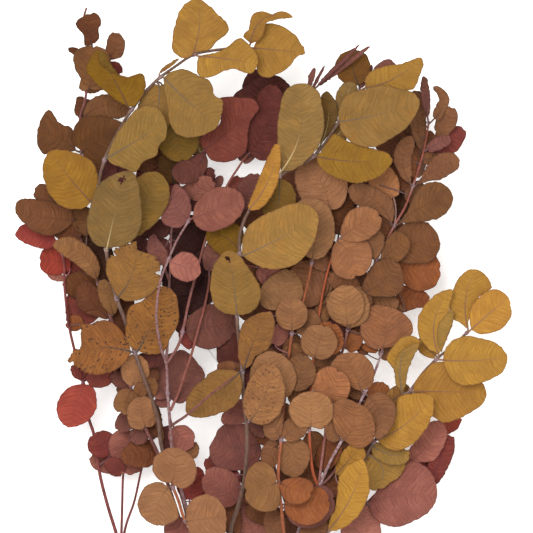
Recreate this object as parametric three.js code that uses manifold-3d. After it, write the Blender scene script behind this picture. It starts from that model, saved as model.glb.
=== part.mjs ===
// A bunch of dried eucalyptus, lying on a surface and held by a rubber band.
//
// Millimetres, +Z up. The bunch lies along Y, with its cut ends at -Y and its tips at +Y.
// Each branch is one stem with its forks. The leaves grow in pairs on a collar that clasps
// the stem, and the smallest ones are grown as one with it. The tables give each leaf's
// outline as it is seen from above, and the height of its middle above the surface. How far
// it tilts and cups is then worked out, so that every leaf clears the ones above and below.

import * as THREE from "three";
import { mergeVertices } from "three/addons/utils/BufferGeometryUtils.js";
import Module from "manifold-3d";

const wasm = await Module();
wasm.setup();

// Leaves
const BLADE_THICKNESS = 0.7;
const BLADE_STATIONS = 5;
const PETIOLE_RADIUS = 0.7;
const PETIOLE_IN_NARROW_LEAF = 0.4;
const PETIOLE_HALF_DEPTH = 0.5;
const STALK_START = 0.5;
const STALK_SIDES = 4;
const COLLAR_WALL = 0.9;
const COLLAR_LENGTH = 2.4;
const COLLAR_BITE = 0.6;
const COLLAR_LOOSENESS = 1.08;
const COLLAR_NEAR_CORNER = 0.45;

// How the leaves settle: what each would do alone, how readily its rise, roll, cup and lift
// give way, and how far each may go
const START_ABOVE_COLLAR = 0.5;
const NEAREST_HEART = 0.25;
const STEEPEST_WANTED = 0.5;
const CUP_WANTED = 0.02;
const EASE = [1, 0.6, 0.25, 0.12];
const LIMITS = [0.75, 0.8, 0.14, 7];
const ROUNDS = 400;
const SHARE_OF_ROUNDS_PULLED = 0.6;
const PULL = 0.03;
const SAMPLE_RINGS = [1, 0.66, 0.33];
const JUST_INSIDE = 0.995;
const STEM_SAMPLE_STEP = 3;
const FREE_NEAR_BASE = 4;

// Clearances
const GAP = 0.32;
const LEAF_AIR = 1.7;
const STEM_AIR = 1.7;
const FLOOR_AIR = 0.5;
const ROOM_AT_RIM = 1.5;
const STALK_ROOM = 1;
const COLLAR_ROOM_INSIDE = 0.2;
const SMALLEST_DETAIL = 0.01;
const SAME_POINT = 1e-4;
const NO_OVERLAP = 1e-6;
const NEARBY = 1;

// The band that holds the bunch, and the stems below it
const BAND_Y = -165;
const BAND_X = -20;
const BAND_WIDTH = 8;
const BAND_THICKNESS = 1.2;
const BAND_CORNER = 2.5;
const BAND_STRAIGHT = 14;
const BAND_CORNER_STEPS = 3;
const BUNDLE = [[-7.5, 3.7], [7.5, 3.7], [2.5, 12.5], [-7.5, 12.5], [-10, 8.1]];
const CUT_Y = -235;
const CUT_SPREAD = 1.6;
const CUT_STAGGER = 1.2;
const STEM_SIDES = 5;

const FINISHES = {
  golden: { color: 0x9f742f, roughness: 0.62, metalness: 0 },
  mustard: { color: 0x906331, roughness: 0.62, metalness: 0 },
  olive: { color: 0x936d35, roughness: 0.62, metalness: 0 },
  drab: { color: 0x866538, roughness: 0.62, metalness: 0 },
  spotted: { color: 0x905c2a, roughness: 0.66, metalness: 0 },
  mottled: { color: 0xa77449, roughness: 0.7, metalness: 0 },
  tan: { color: 0x9e6e4c, roughness: 0.66, metalness: 0 },
  brown: { color: 0x89593a, roughness: 0.66, metalness: 0 },
  rust: { color: 0x9b5a33, roughness: 0.66, metalness: 0 },
  umber: { color: 0x7a472c, roughness: 0.7, metalness: 0 },
  mauve: { color: 0x855149, roughness: 0.66, metalness: 0 },
  burgundy: { color: 0x863f36, roughness: 0.66, metalness: 0 },
  maroon: { color: 0x623029, roughness: 0.7, metalness: 0 },
  rose: { color: 0x9e6156, roughness: 0.66, metalness: 0 },
  red: { color: 0xa5473a, roughness: 0.62, metalness: 0 },
  grey_bark: { color: 0x7d6254, roughness: 0.75, metalness: 0 },
  orange_bark: { color: 0xb06a4a, roughness: 0.7, metalness: 0 },
  pink_bark: { color: 0xa06a66, roughness: 0.7, metalness: 0 },
  red_bark: { color: 0x98504a, roughness: 0.7, metalness: 0 },
  mauve_bark: { color: 0x7e5756, roughness: 0.7, metalness: 0 },
  band: { color: 0xc8a878, roughness: 0.55, metalness: 0 },
};

function leaf(finish, base, tip, left, right, peak, height, roll = 0, heart = null) {
  return { finish, base, tip, left, right, peak, height, roll, heart };
}

function pair(name, at, leaves) {
  return { name, at, leaves };
}

function branch(name, bark, radii, slot, routes, pairs) {
  return { name, bark, radii, slot, routes, pairs };
}

// A leaf is (finish, base, tip, left side, right side, widest place, height, roll, heart).
// A side is half the leaf's width, or the points of its outline from base to tip.
const BRANCHES = [
  branch("olive_left", "grey_bark", [2, 1], [-5, 8.1], [
    [[-56, -5, 32], [-60, 14, 36], [-65, 32, 40], [-78, 62, 44], [-82, 88, 50], [-89, 109, 55],
     [-98, 134, 58], [-104, 155, 60], [-112, 176, 62], [-118, 200, 64], [-122, 235, 66],
     [-125, 262, 68], [-121, 279, 70], [-113, 296, 70], [-100, 318, 70], [-83, 338, 70],
     [-67, 350, 70], [-54.5, 358, 70], [-41, 361, 71], [-12, 364, 73]],
  ], [
    pair("tip", [-14, 364], [
      leaf("golden", [-10, 363], [29, 359],
        [[-4, 376], [0, 381], [10, 380], [20, 374], [26, 366]],
        [[-8, 352], [-6, 344], [0, 341], [10, 344], [18, 350], [22, 356]], 0.5, 72),
      leaf("golden", [-12, 366], [20, 385],
        [[-18, 372], [-13, 377], [-12, 385], [-9, 389], [-3, 390], [4, 388], [12, 390]],
        [[-6, 368], [-2, 374], [0, 381], [10, 384]], 0.5, 81, 0, [-5, 384]),
    ]),
    pair("top", [-54.5, 358], [
      leaf("golden", [-55, 358], [-51, 400],
        [[-62, 355], [-70, 361], [-70, 372], [-68, 382], [-64, 392], [-58, 398]],
        [[-50, 361], [-42, 362], [-37, 368], [-29, 374], [-29, 381], [-36, 388], [-44, 396]], 0.5, 72),
      leaf("golden", [-51, 357], [-7, 350],
        [[-40, 359], [-30, 363], [-20, 370], [-12, 364], [-7, 357]],
        [[-52, 349], [-50, 342], [-42, 341], [-33, 345], [-24, 347], [-16, 344], [-10, 344]], 0.5, 79),
    ]),
    pair("broad", [-79, 342], [
      leaf("olive", [-77, 341], [-37, 304],
        [[-70, 346], [-60, 347], [-50, 342], [-42, 338], [-38, 327], [-33, 324], [-34, 312]],
        [[-76, 330], [-74, 318], [-72, 306], [-66, 298], [-56, 296], [-45, 299]], 0.5, 74),
      leaf("golden", [-80, 344], [-65, 355], 2, 1.2, 0.4, 74, 1),
    ]),
    pair("folded", [-101, 317], [
      leaf("golden", [-103, 319], [-126, 361], [[-112, 324], [-122, 332], [-134, 345], [-133, 352]],
        [[-98, 320], [-92, 328], [-90, 337], [-93, 344], [-101, 341], [-110, 343], [-116, 350],
          [-121, 359]], 0.5, 76, 0, [-108, 333]),
    ]),
    pair("wide", [-121, 279], [
      leaf("olive", [-119, 281], [-75, 308],
        [[-113, 297], [-105, 308], [-97, 317], [-88, 320], [-80, 317]],
        [[-116, 277], [-106, 273], [-98, 270], [-92, 278], [-82, 283], [-80, 290], [-75, 296]], 0.5, 75),
    ]),
    pair("golden", [-124, 250], [
      leaf("golden", [-131, 248], [-162, 286],
        [[-135, 244], [-145, 243], [-155, 246], [-162, 254], [-166, 264], [-167, 276]],
        [[-127, 258], [-126, 268], [-130, 278], [-140, 284], [-152, 287]], 0.5, 68),
    ]),
    pair("middle", [-119, 213], [
      leaf("drab", [-119, 214], [-104, 271],
        [[-127, 216], [-133, 225], [-134, 234], [-131, 246], [-127, 258], [-117, 267]],
        [[-108, 215], [-98, 221], [-93, 233], [-93, 246], [-95, 260], [-98, 269]], 0.5, 77),
      leaf("olive", [-112, 217], [-80, 270], 14, 18, 0.62, 65),
    ]),
    pair("ragged", [-112, 176], [
      leaf("mustard", [-111, 177], [-97, 219],
        [[-116, 186], [-120, 196], [-118, 208], [-110, 217]],
        [[-104, 174], [-92, 176], [-83, 182], [-79, 193], [-80, 205], [-85, 209], [-96, 212]], 0.5, 71),
    ]),
    pair("spotted", [-98, 135], [
      leaf("spotted", [-96, 137], [-75, 185],
        [[-104, 142], [-105, 155], [-102, 170], [-92, 175], [-82, 184]],
        [[-87, 134], [-77, 136], [-72, 146], [-66, 158], [-66, 172], [-69, 181]], 0.5, 64),
      leaf("spotted", [-101, 136], [-149, 130],
        [[-106, 128], [-114, 122], [-128, 119], [-138, 121], [-145, 126]],
        [[-105, 146], [-112, 156], [-122, 160], [-132, 157], [-140, 158], [-139, 148], [-139, 141],
          [-145, 138]], 0.5, 64),
    ]),
    pair("", [-83, 338], [
      leaf("olive", [-80, 335], [-92, 300], 17, 9, 0.45, 66),
      leaf("olive", [-78, 336], [-63, 280], 16, 14, 0.65, 61),
    ]),
    pair("", [-77, 60], [
      leaf("brown", [-79, 66], [-85, 98], [[-82, 75], [-86, 88]], [[-77, 70], [-78, 82], [-80, 92]],
        0.5, 44),
    ]),
    pair("", [-125, 259], [
      leaf("maroon", [-122, 261], [-115, 279], 6, 5, 0.5, 56),
    ]),
    pair("", [-77, 59], [
      leaf("maroon", [-74, 61], [-76, 80], 4, 5, 0.5, 40),
    ]),
    pair("", [-90, 112], [
      leaf("umber", [-84, 114], [-90, 127], 5, 5, 0.5, 44),
    ]),
    pair("", [-124, 254], [
      leaf("maroon", [-104, 256], [-112, 276], 6, 6, 0.5, 52),
    ]),
    pair("", [-62, 23], [
      leaf("burgundy", [-48, 27], [-47, 37], 4, 4, 0.5, 28),
    ]),
  ]),

  branch("olive_centre", "grey_bark", [2, 1], [0, 8.1], [
    [[-27, 0, 38], [-22, 18, 46], [-17, 38, 54], [-15, 60, 58], [-15, 83, 62], [-17, 100, 64],
     [-18, 121, 66], [-20, 140, 66], [-22, 164, 66], [-20, 208, 68], [-20, 222, 69], [-14, 240, 70],
     [9, 267, 70], [35, 282, 70], [54, 308, 70], [70, 332, 70]],
  ], [
    pair("tip", [70, 332], [
      leaf("mustard", [69, 335], [62, 362], 14.5, 12.5, 0.55, 63),
      leaf("golden", [73, 333], [115, 356], [[74, 341], [80, 347], [90, 350], [100, 351], [108, 354]],
        [[85, 331], [98, 331], [110, 333], [114, 342], [117, 350]], 0.5, 73),
    ]),
    pair("broad", [54, 308], [
      leaf("olive", [54, 308], [114, 322],
        [[54, 318], [60, 328], [72, 332], [86, 335], [100, 332], [110, 329]],
        [[57, 299], [66, 291], [80, 289], [92, 295], [104, 303], [111, 313]], 0.5, 79),
      leaf("drab", [54, 311], [64, 338], 8, 8, 0.6, 65),
    ]),
    pair("long", [36, 282], [
      leaf("golden", [37, 282], [94, 279], [[43, 290], [50, 299], [60, 294], [72, 290], [84, 287],
        [91, 284]], [[38, 277], [44, 270], [54, 265], [68, 262], [80, 265], [90, 272]], 0.5, 74),
      leaf("drab", [40, 290], [45, 331], [[40, 300], [41, 315], [40, 326]],
        [[47, 299], [53, 310], [53, 319], [50, 326]], 0.5, 67),
    ]),
    pair("tall", [9, 267], [
      leaf("drab", [11, 271], [23, 336], [[9, 280], [8, 300], [10, 318], [14, 331]],
        [[20, 272], [30, 279], [39, 290], [43, 304], [42, 318], [38, 331], [30, 336]], 0.5, 79),
      leaf("olive", [10, 266], [6, 232], 14, 12, 0.5, 62),
    ]),
    pair("wide", [-20, 209], [
      leaf("olive", [-18, 208], [38, 239],
        [[-18, 220], [-13, 231], [-3, 238], [8, 243], [20, 247], [31, 246]],
        [[-10, 202], [3, 198], [18, 200], [28, 207], [34, 216], [38, 228]], 0.5, 79),
      leaf("golden", [-20, 212], [-45, 226], 10, 16, 0.4, 60),
    ]),
    pair("pale", [-22, 164], [
      leaf("olive", [-22, 164], [-28, 212], [[-31, 165], [-39, 171], [-42, 182], [-41, 195],
        [-36, 206]], [[-13, 165], [-6, 172], [-4, 181], [-8, 191], [-14, 200], [-20, 208]], 0.5, 77),
    ]),
    pair("low", [-18, 121], [
      leaf("mustard", [-20, 121], [-60, 91],
        [[-18, 111], [-20, 102], [-26, 94], [-36, 90], [-48, 87], [-56, 88]],
        [[-28, 123], [-40, 122], [-47, 116], [-55, 109], [-60, 100]], 0.5, 68),
      leaf("mustard", [-17, 123], [-1, 166], [[-21, 132], [-21, 145], [-18, 157], [-11, 163]],
        [[-12, 126], [-8, 133], [1, 138], [5, 148], [6, 160], [4, 166]], 0.5, 71),
    ]),
    pair("", [-12, 242], [
      leaf("golden", [-13, 243], [8, 291], [[-9, 254], [-2, 271], [3, 282]],
        [[-6, 244], [1, 251], [7, 263], [9, 276], [9, 285]], 0.5, 81, 3),
    ]),
    pair("", [-15, 84], [
      leaf("mottled", [-12, 85], [3, 127], [[-16, 94], [-15, 106], [-11, 116], [-5, 124]],
        [[-2, 83], [7, 89], [12, 100], [12, 112], [9, 121]], 0.5, 71),
    ]),
    pair("", [-18.5, 125], [
      leaf("maroon", [-20, 126], [-31, 149], [[-28, 124], [-35, 128], [-36, 138]],
        [[-19, 134], [-20, 146]], 0.5, 37),
    ]),
    pair("", [68, 329], [
      leaf("mauve", [70, 333], [79, 351], 3, 3, 0.5, 62),
      leaf("mauve", [80, 338], [95, 353], 6, 5, 0.5, 58),
    ]),
    pair("", [-26, 2], [
      leaf("umber", [-24, -4], [-28, 26], 6, 6, 0.5, 30),
    ]),
    pair("", [-18, 34], [
      leaf("burgundy", [-23, 35], [-31, 48], 6, 6, 0.5, 28),
    ]),
    pair("", [-17, 106], [
      leaf("maroon", [-9, 106], [-16, 128], 6, 6, 0.5, 44),
    ]),
    pair("", [44, 294], [
      leaf("drab", [48, 291], [60, 307], 6, 6, 0.5, 30),
    ]),
    pair("", [-18, 123], [
      leaf("umber", [-17, 122], [-37, 124], 5, 5, 0.5, 38),
    ]),
    pair("", [-16, 45], [
      leaf("burgundy", [-37, 47], [-44, 56], 5, 5, 0.5, 30),
    ]),
  ]),

  branch("golden_right", "grey_bark", [1.7, 0.9], [5, 8.1], [
    [[44, -4, 34], [47, 2, 36], [60, 30, 42], [73, 55, 46], [81, 69, 46], [95, 87, 46],
     [108, 107, 48], [118, 121, 49], [128, 131, 50], [140, 141, 50], [152, 152, 50]],
  ], [
    pair("tip", [150, 150], [
      leaf("golden", [151, 153], [157, 198],
        [[146, 157], [140, 161], [137, 169], [139, 180], [143, 190], [150, 197]],
        [[152, 162], [157, 174], [164, 181], [169, 184], [167, 190], [163, 195]], 0.5, 52),
      leaf("golden", [153, 152.5], [181, 177], [[152, 162], [153, 169], [158, 176], [165, 182],
        [173, 183]], [[160, 149.5], [168, 150], [177, 154], [183, 163], [183, 171]], 0.5, 57),
    ]),
    pair("upper", [128, 131], [
      leaf("golden", [129, 134], [139, 183],
        [[122, 138], [115, 146], [113, 155], [115, 165], [121, 174], [130, 181]],
        [[132, 139], [136, 148], [140, 160], [137, 169], [139, 177]], 0.5, 55),
      leaf("golden", [132, 130], [180, 133], [[134, 138], [140, 145], [150, 148], [162, 146],
        [173, 142]], [[134, 124], [139, 115], [147, 111], [158, 112], [168, 116], [177, 122]], 0.5, 58),
    ]),
    pair("middle", [108, 107], [
      leaf("golden", [110, 106], [165, 105], [[111, 113], [117, 121], [126, 128], [138, 128],
        [152, 120], [162, 113]], [[116, 97], [124, 88], [134, 83], [144, 86], [154, 91], [162, 97]],
        0.5, 50),
      leaf("golden", [102, 105], [108, 148], [[97, 112], [95, 123], [90, 131], [95, 140], [102, 147]],
        [[104, 110], [106, 122], [111, 134], [115, 143]], 0.5, 55),
    ]),
    pair("lower", [81, 69], [
      leaf("golden", [83, 70], [124, 103], [[88, 77], [94, 83], [97, 92], [99, 102], [108, 105],
        [117, 105]], [[88, 65], [97, 62], [107, 65], [116, 74], [122, 83], [125, 94]], 0.5, 54),
    ]),
    pair("front", [47, 2], [
      leaf("golden", [46, 1], [72, 56], [[47, 9], [51, 18], [53, 30], [54, 42], [61, 51]],
        [[54, 2], [64, 8], [72, 18], [77, 32], [76, 45]], 0.5, 60),
    ]),
    pair("", [76, 61], [
      leaf("olive", [80, 65], [107, 58], 4, 9, 0.5, 43),
      leaf("olive", [77, 58], [84, 33], [[90, 56], [103, 53], [101, 45], [93, 39]],
        [[74, 50], [75, 40], [78, 34]], 0.5, 39),
    ]),
    pair("", [60, 30], [
      leaf("golden", [52, 44], [70, 65], [[53, 50], [58, 60], [64, 66]],
        [[60, 46], [68, 53], [73, 59]], 0.5, 52),
    ]),
    pair("", [98, 91], [
      leaf("mustard", [90, 96], [108, 108], 7, 6, 0.5, 42),
    ]),
    pair("", [46, 1], [
      leaf("umber", [44, 2], [53, 32], 5, 5, 0.5, 30),
    ]),
    pair("", [129, 132], [
      leaf("golden", [127, 133], [113, 144], 4, 4, 0.5, 40),
    ]),
    pair("", [74, 57], [
      leaf("umber", [73, 57], [78, 68], 6, 6, 0.5, 34),
    ]),
  ]),

  branch("brown", "pink_bark", [2, 0.9], [2.5, 3.7], [
    [[22, -5, 36], [27, 8, 40], [33, 20, 43], [39, 34, 46], [48, 54, 50], [57, 71, 52], [66, 90, 50],
     [73, 104, 52], [80, 118, 50], [87, 137, 48]],
    [[39, 34, 46], [35, 45, 49], [33, 60, 52], [32, 79, 54], [33, 100, 52], [35, 131, 54],
     [40, 168, 54], [46, 197, 54], [54, 221, 54]],
    [[39, 34, 46], [45, 80, 42], [52, 120, 45], [58, 140, 47], [61, 153, 48], [71, 180, 50],
     [82, 204, 50], [96, 231, 50], [104, 245, 49], [110, 261, 48], [118, 287, 46], [122, 309, 44]],
    [[39, 34, 46], [50, 45, 45], [60, 63, 45]],
    [[71, 180, 50], [76, 183, 42], [85, 186, 38], [97, 190, 35]],
  ], [
    pair("upper", [110, 261], [
      leaf("brown", [108, 262], [109, 298], [[103, 265], [98, 272], [95, 281], [97, 290], [102, 296]],
        [[109, 270], [109, 282], [111, 291]], 0.5, 51),
      leaf("brown", [112, 261], [145, 279], [[117, 269], [121, 277], [128, 284], [137, 286],
        [142, 284]], [[122, 264], [130, 265], [136, 268], [143, 273]], 0.5, 47),
    ]),
    pair("fourth", [96, 231], [
      leaf("brown", [99, 232], [140, 252], [[104, 239], [109, 249], [113, 257], [121, 263],
        [130, 263], [137, 258]], [[110, 233], [122, 234], [131, 237], [137, 243]], 0.5, 52),
      leaf("brown", [94, 231], [61, 257], [[90, 235], [83, 240], [75, 242], [66, 247]],
        [[96, 240], [93, 252], [85, 257], [73, 262], [65, 262]], 0.5, 56),
    ]),
    pair("third", [82, 204], [
      leaf("brown", [86, 206], [129, 223], [[90, 214], [95, 224], [103, 232], [114, 235], [123, 231]],
        [[96, 203], [110, 202], [124, 204], [130, 214]], 0.5, 43),
      leaf("brown", [85, 204], [107, 220], [[87, 214], [91, 222], [98, 227]],
        [[93, 201], [101, 205], [107, 212]], 0.5, 51),
      leaf("brown", [81, 205], [83, 228], [[74, 206], [68, 211], [67, 219], [73, 226]],
        [[84, 208], [88, 215], [88, 223]], 0.5, 54),
    ]),
    pair("low_tip", [86, 134], [
      leaf("brown", [87, 139], [86, 171], [[80, 138], [73, 144], [70, 154], [72, 164], [78, 170]],
        [[97, 140], [107, 147], [110, 154], [105, 163], [97, 168]], 0.5, 52),
      leaf("rust", [84, 137], [71, 141], 3.5, 3, 0.5, 44),
    ]),
    pair("low_upper", [73, 104], [
      leaf("brown", [71, 107], [57, 135], [[62, 110], [54, 115], [48, 123], [50, 130]],
        [[78, 110], [81, 118], [79, 127], [72, 134], [65, 136]], 0.5, 58),
      leaf("brown", [76, 103], [83, 71], [[85, 106], [93, 102], [97, 94], [95, 82], [89, 74]],
        [[73, 96], [72, 86], [76, 77]], 0.5, 59),
    ]),
    pair("low_discs", [57, 71], [
      leaf("brown", [58, 70], [61, 101], [[52, 76], [49, 86], [49, 96], [54, 101]],
        [[64, 65], [73, 64], [80, 71], [81, 83], [76, 93], [68, 98]], 0.5, 66),
      leaf("brown", [55, 70], [43, 78], [[50, 68], [45, 71]], [[55, 80], [50, 86], [44, 84]], 0.5, 61),
    ]),
    pair("middle_low", [32, 79], [
      leaf("tan", [33, 80], [32, 107], [[24, 80], [18, 87], [17, 96], [22, 103]],
        [[41, 78], [48, 84], [50, 93], [47, 102], [40, 106]], 0.5, 71),
      leaf("brown", [33, 77], [40, 52], 9, 9, 0.5, 36),
    ]),
    pair("stack", [61, 153], [
      leaf("tan", [61, 156], [58, 186], 14.5, 14, 0.5, 63),
      leaf("tan", [63, 154], [63, 185], 15, 14.5, 0.5, 57),
    ]),
    pair("", [122, 308], [
      leaf("mauve", [121, 311], [118, 343], 3.5, 3.5, 0.6, 46),
      leaf("brown", [126, 311], [125, 335], [[126, 314], [129, 321], [131, 325], [129, 330]],
        [[129, 310], [132, 315], [135, 321], [136, 327], [133, 331]], 0.5, 47, 0, [132.5, 326]),
    ]),
    pair("", [118, 287], [
      leaf("brown", [121, 289], [139, 319], [[125.5, 296], [128.5, 300.5], [127, 304], [128, 309],
        [132, 315]], [[128, 292], [136, 300], [141, 307], [142, 314]], 0.5, 45, 0, [133, 306]),
      leaf("burgundy", [120, 287], [148, 303], [[126, 293], [133, 299], [140, 304]],
        [[130, 287], [140, 286], [146, 293], [149, 299]], 0.5, 41),
      leaf("brown", [117, 288], [113, 332], 7, 4, 0.6, 38),
      leaf("mauve", [121, 288], [138, 296], 4, 3, 0.5, 50),
      leaf("umber", [118, 289], [121, 302], 5, 6, 0.5, 34),
    ]),
    pair("", [96, 231], [
      leaf("brown", [95, 252], [82, 275], 10, 9, 0.5, 45),
      leaf("umber", [96, 233], [104, 262], 8, 7, 0.5, 26),
      leaf("umber", [90, 234], [84, 262], 8, 9, 0.5, 34),
    ]),
    pair("", [112, 266], [
      leaf("umber", [112, 267], [115, 299], 5, 6, 0.5, 34),
    ]),
    pair("", [71, 180], [
      leaf("brown", [72, 180], [97, 203], [[75, 190], [80, 200], [88, 204]],
        [[84, 179], [95, 179], [101, 184], [101, 193]], 0.5, 54),
      leaf("brown", [73, 178], [99, 172], 4, 6, 0.5, 45),
      leaf("brown", [69, 182], [47, 192], 6, 8, 0.5, 44),
    ]),
    pair("", [97, 190], [
      leaf("rust", [98, 199], [130, 198], [[104, 208], [115, 213], [125, 209]],
        [[102, 190], [110, 184], [119, 183], [127, 188]], 0.5, 37),
      leaf("rust", [97, 177], [122, 174], [[103, 184], [112, 183], [119, 179]],
        [[102, 167], [112, 170], [119, 171]], 0.5, 33),
    ]),
    pair("", [61, 153], [
      leaf("rust", [60, 138], [68, 151], 5, 7, 0.5, 44),
      leaf("brown", [64, 156], [72, 184], 10, 10, 0.5, 51),
    ]),
    pair("", [73, 104], [
      leaf("rust", [75, 105], [92, 106], 6.5, 4, 0.5, 44),
      leaf("brown", [72, 103], [60, 111], 5, 4, 0.5, 44),
    ]),
    pair("", [54, 221], [
      leaf("brown", [56, 222], [84, 238], [[58, 231], [63, 240], [71, 244], [79, 242]],
        [[64, 219.5], [74, 221], [82, 227], [85, 234]], 0.5, 60),
      leaf("brown", [53, 219], [67, 193], [[62, 220], [74, 218], [78, 208], [75, 198]],
        [[50, 211], [50, 201], [54, 194], [60, 192]], 0.5, 58),
      leaf("umber", [54, 224], [59, 252], 8, 8, 0.5, 38),
    ]),
    pair("", [46, 197], [
      leaf("brown", [43, 198], [26, 172], [[46, 190], [44, 180], [37, 172]],
        [[34, 203], [24, 202], [18, 193], [19, 180]], 0.5, 49),
      leaf("tan", [46, 197], [38, 171], [[48, 190], [47, 181], [44, 174]], [[42, 190], [38, 180]],
        0.5, 44),
      leaf("brown", [45, 198], [34, 211], 5, 6, 0.5, 50),
    ]),
    pair("", [38, 153], [
      leaf("maroon", [43, 150], [66, 168], 11, 11, 0.5, 38),
    ]),
    pair("", [36, 27], [
      leaf("umber", [42, 25], [54, 44], 7, 7, 0.5, 38),
    ]),
    pair("", [57, 70], [
      leaf("brown", [54, 67], [56, 49], 7, 6, 0.5, 37),
    ]),
    pair("", [35, 131], [
      leaf("tan", [36, 132], [43, 155], 13, 12.5, 0.5, 66),
      leaf("rust", [40, 134], [49, 157], 11, 12, 0.5, 60),
    ]),
    pair("", [33, 104], [
      leaf("brown", [35, 107], [53, 122], [[36, 115], [41, 122], [48, 124]],
        [[45, 100], [56, 99], [61, 107], [60, 116]], 0.5, 60),
    ]),
    pair("", [115, 277], [
      leaf("umber", [110, 279], [83, 304], 11, 11, 0.5, 34),
    ]),
    pair("", [35, 124], [
      leaf("brown", [37, 124], [58, 131], 10, 10, 0.5, 42),
    ]),
    pair("", [37, 29], [
      leaf("umber", [27, 33], [35, 54], 9, 8, 0.5, 34),
    ]),
    pair("", [109, 259], [
      leaf("umber", [109, 260], [90, 276], 9, 9, 0.5, 30),
    ]),
    pair("", [89, 218], [
      leaf("umber", [84, 221], [94, 237], 7, 7, 0.5, 36),
    ]),
    pair("", [41, 48], [
      leaf("umber", [41, 48], [53, 72], 8, 7, 0.5, 38),
    ]),
    pair("", [116, 281], [
      leaf("brown", [118, 280], [133, 284], 5, 5, 0.5, 38),
    ]),
    pair("", [72, 180], [
      leaf("brown", [66, 181], [73, 197], 5, 4, 0.5, 40),
    ]),
    pair("", [39, 158], [
      leaf("brown", [40, 158], [45, 176], 5, 5, 0.5, 40),
    ]),
    pair("", [40, 164], [
      leaf("umber", [41, 165], [29, 172], 5, 5, 0.5, 36),
    ]),
    pair("", [106, 249], [
      leaf("brown", [106, 249], [118, 262], 6, 5, 0.5, 38),
    ]),
    pair("", [48, 204], [
      leaf("umber", [51, 203], [46, 220], 5, 5, 0.5, 40),
    ]),
    pair("", [48, 42], [
      leaf("umber", [47, 43], [50, 56], 6, 5, 0.5, 34),
    ]),
    pair("", [85, 133], [
      leaf("brown", [86, 132.5], [95, 139], 5, 5, 0.5, 38),
    ]),
    pair("", [71, 100], [
      leaf("umber", [76, 97], [56, 104], 6, 6, 0.5, 36),
    ]),
    pair("", [61, 152], [
      leaf("umber", [72, 149], [62, 157], 6, 6, 0.5, 36),
    ]),
    pair("", [120, 296], [
      leaf("umber", [112, 297], [99, 304], 5, 5, 0.5, 34),
    ]),
    pair("", [45, 192], [
      leaf("umber", [49, 191], [49, 205], 5, 5, 0.5, 36),
    ]),
    pair("", [34, 112], [
      leaf("brown", [35, 112], [38, 127], 4, 4, 0.5, 38),
    ]),
    pair("", [59, 61], [
      leaf("umber", [63, 63], [55, 71], 4, 4, 0.5, 38),
    ]),
    pair("", [85, 131], [
      leaf("umber", [76, 134], [67, 143], 4, 4, 0.5, 36),
    ]),
    pair("", [107, 252], [
      leaf("umber", [81, 262], [70, 263], 4, 4, 0.5, 36),
    ]),
    pair("", [42, 179], [
      leaf("umber", [46, 178], [51, 188], 4, 4, 0.5, 36),
    ]),
    pair("", [98, 235], [
      leaf("umber", [102, 233], [94, 226], 4, 4, 0.5, 36),
    ]),
    pair("", [95, 189], [
      leaf("brown", [103, 166], [95, 171], 4, 4, 0.5, 38),
    ]),
  ]),

  branch("orange", "orange_bark", [1.7, 0.9], [2.5, 12.5], [
    [[14, -5, 50], [13, 0, 52], [11, 20, 58], [9, 38, 60], [9, 50, 60], [11, 71, 58], [13, 99, 56],
     [15, 120, 54], [18, 143, 56], [20, 155, 58], [27, 173, 58], [31, 188, 58], [34, 204, 58],
     [37, 225, 56], [46, 243, 54]],
  ], [
    pair("upper", [34, 204], [
      leaf("tan", [34, 205], [30, 251], [[24, 212], [20, 225], [20, 240], [24, 249]],
        [[42, 207], [50, 218], [51, 231], [47, 244], [39, 250]], 0.5, 63),
    ]),
    pair("discs", [18, 150], [
      leaf("tan", [19, 152], [18, 177], 12, 12.5, 0.5, 66),
      leaf("brown", [23, 150], [33, 168], [[22, 158], [26, 166]],
        [[30, 147], [39, 151], [41, 159], [38, 165]], 0.5, 55),
    ]),
    pair("big", [12.5, 99.5], [
      leaf("tan", [10, 101], [2, 137], [[-2, 101], [-11, 108], [-13, 119], [-9, 130], [-4, 135]],
        [[17, 103], [22, 112], [22, 121], [17, 130], [10, 135]], 0.5, 62),
      leaf("brown", [14, 98], [16, 80], 5, 4, 0.5, 49),
    ]),
    pair("hanging", [10.5, 69], [
      leaf("brown", [12, 69], [20, 42], [[25, 71], [32, 64], [32, 54], [27, 45]],
        [[10, 58], [11, 47]], 0.5, 55),
      leaf("brown", [9, 69], [0, 46], [[9, 60], [7, 50]], [[2, 70], [-4, 62], [-4, 54]], 0.5, 53),
    ]),
    pair("", [44, 240], [
      leaf("tan", [47, 243], [28, 277], [[37, 249], [27, 252], [23, 262], [23, 271]],
        [[55, 246], [59, 255], [59, 264], [50, 275], [38, 283]], 0.5, 56),
    ]),
    pair("", [9, 40], [
      leaf("tan", [7, 38], [-15, 33], [[9, 29], [7, 20], [-1, 18], [-9, 21], [-14, 26]],
        [[5, 46], [0, 52], [-6, 53], [-13, 47], [-15, 40]], 0.5, 67),
      leaf("rust", [11, 38], [33, 31], [[15, 40], [25, 41], [33, 38]],
        [[13, 29], [19, 24], [28, 25]], 0.5, 64),
    ]),
    pair("", [11, 20], [
      leaf("rust", [13, 22], [46, 25], [[20, 27], [30, 33], [41, 33]],
        [[16, 15], [24, 9], [34, 8], [43, 14]], 0.5, 58),
      leaf("mauve", [14, 19], [50, 26], [[30, 32], [44, 34]], [[20, 9], [33, 5], [44, 10], [49, 18]],
        0.5, 51),
    ]),
    pair("", [11, 71], [
      leaf("brown", [10, 73], [1, 90], [[4, 71], [-1, 76], [-1, 84]], [[11, 82], [10, 92]], 0.5, 61),
      leaf("brown", [13, 72], [28, 83], [[13, 79], [18, 86], [26, 87]],
        [[20, 70], [27, 74], [30, 79]], 0.5, 61),
    ]),
    pair("", [14, 112], [
      leaf("brown", [20, 108], [27, 133], 9, 12, 0.5, 59),
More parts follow.
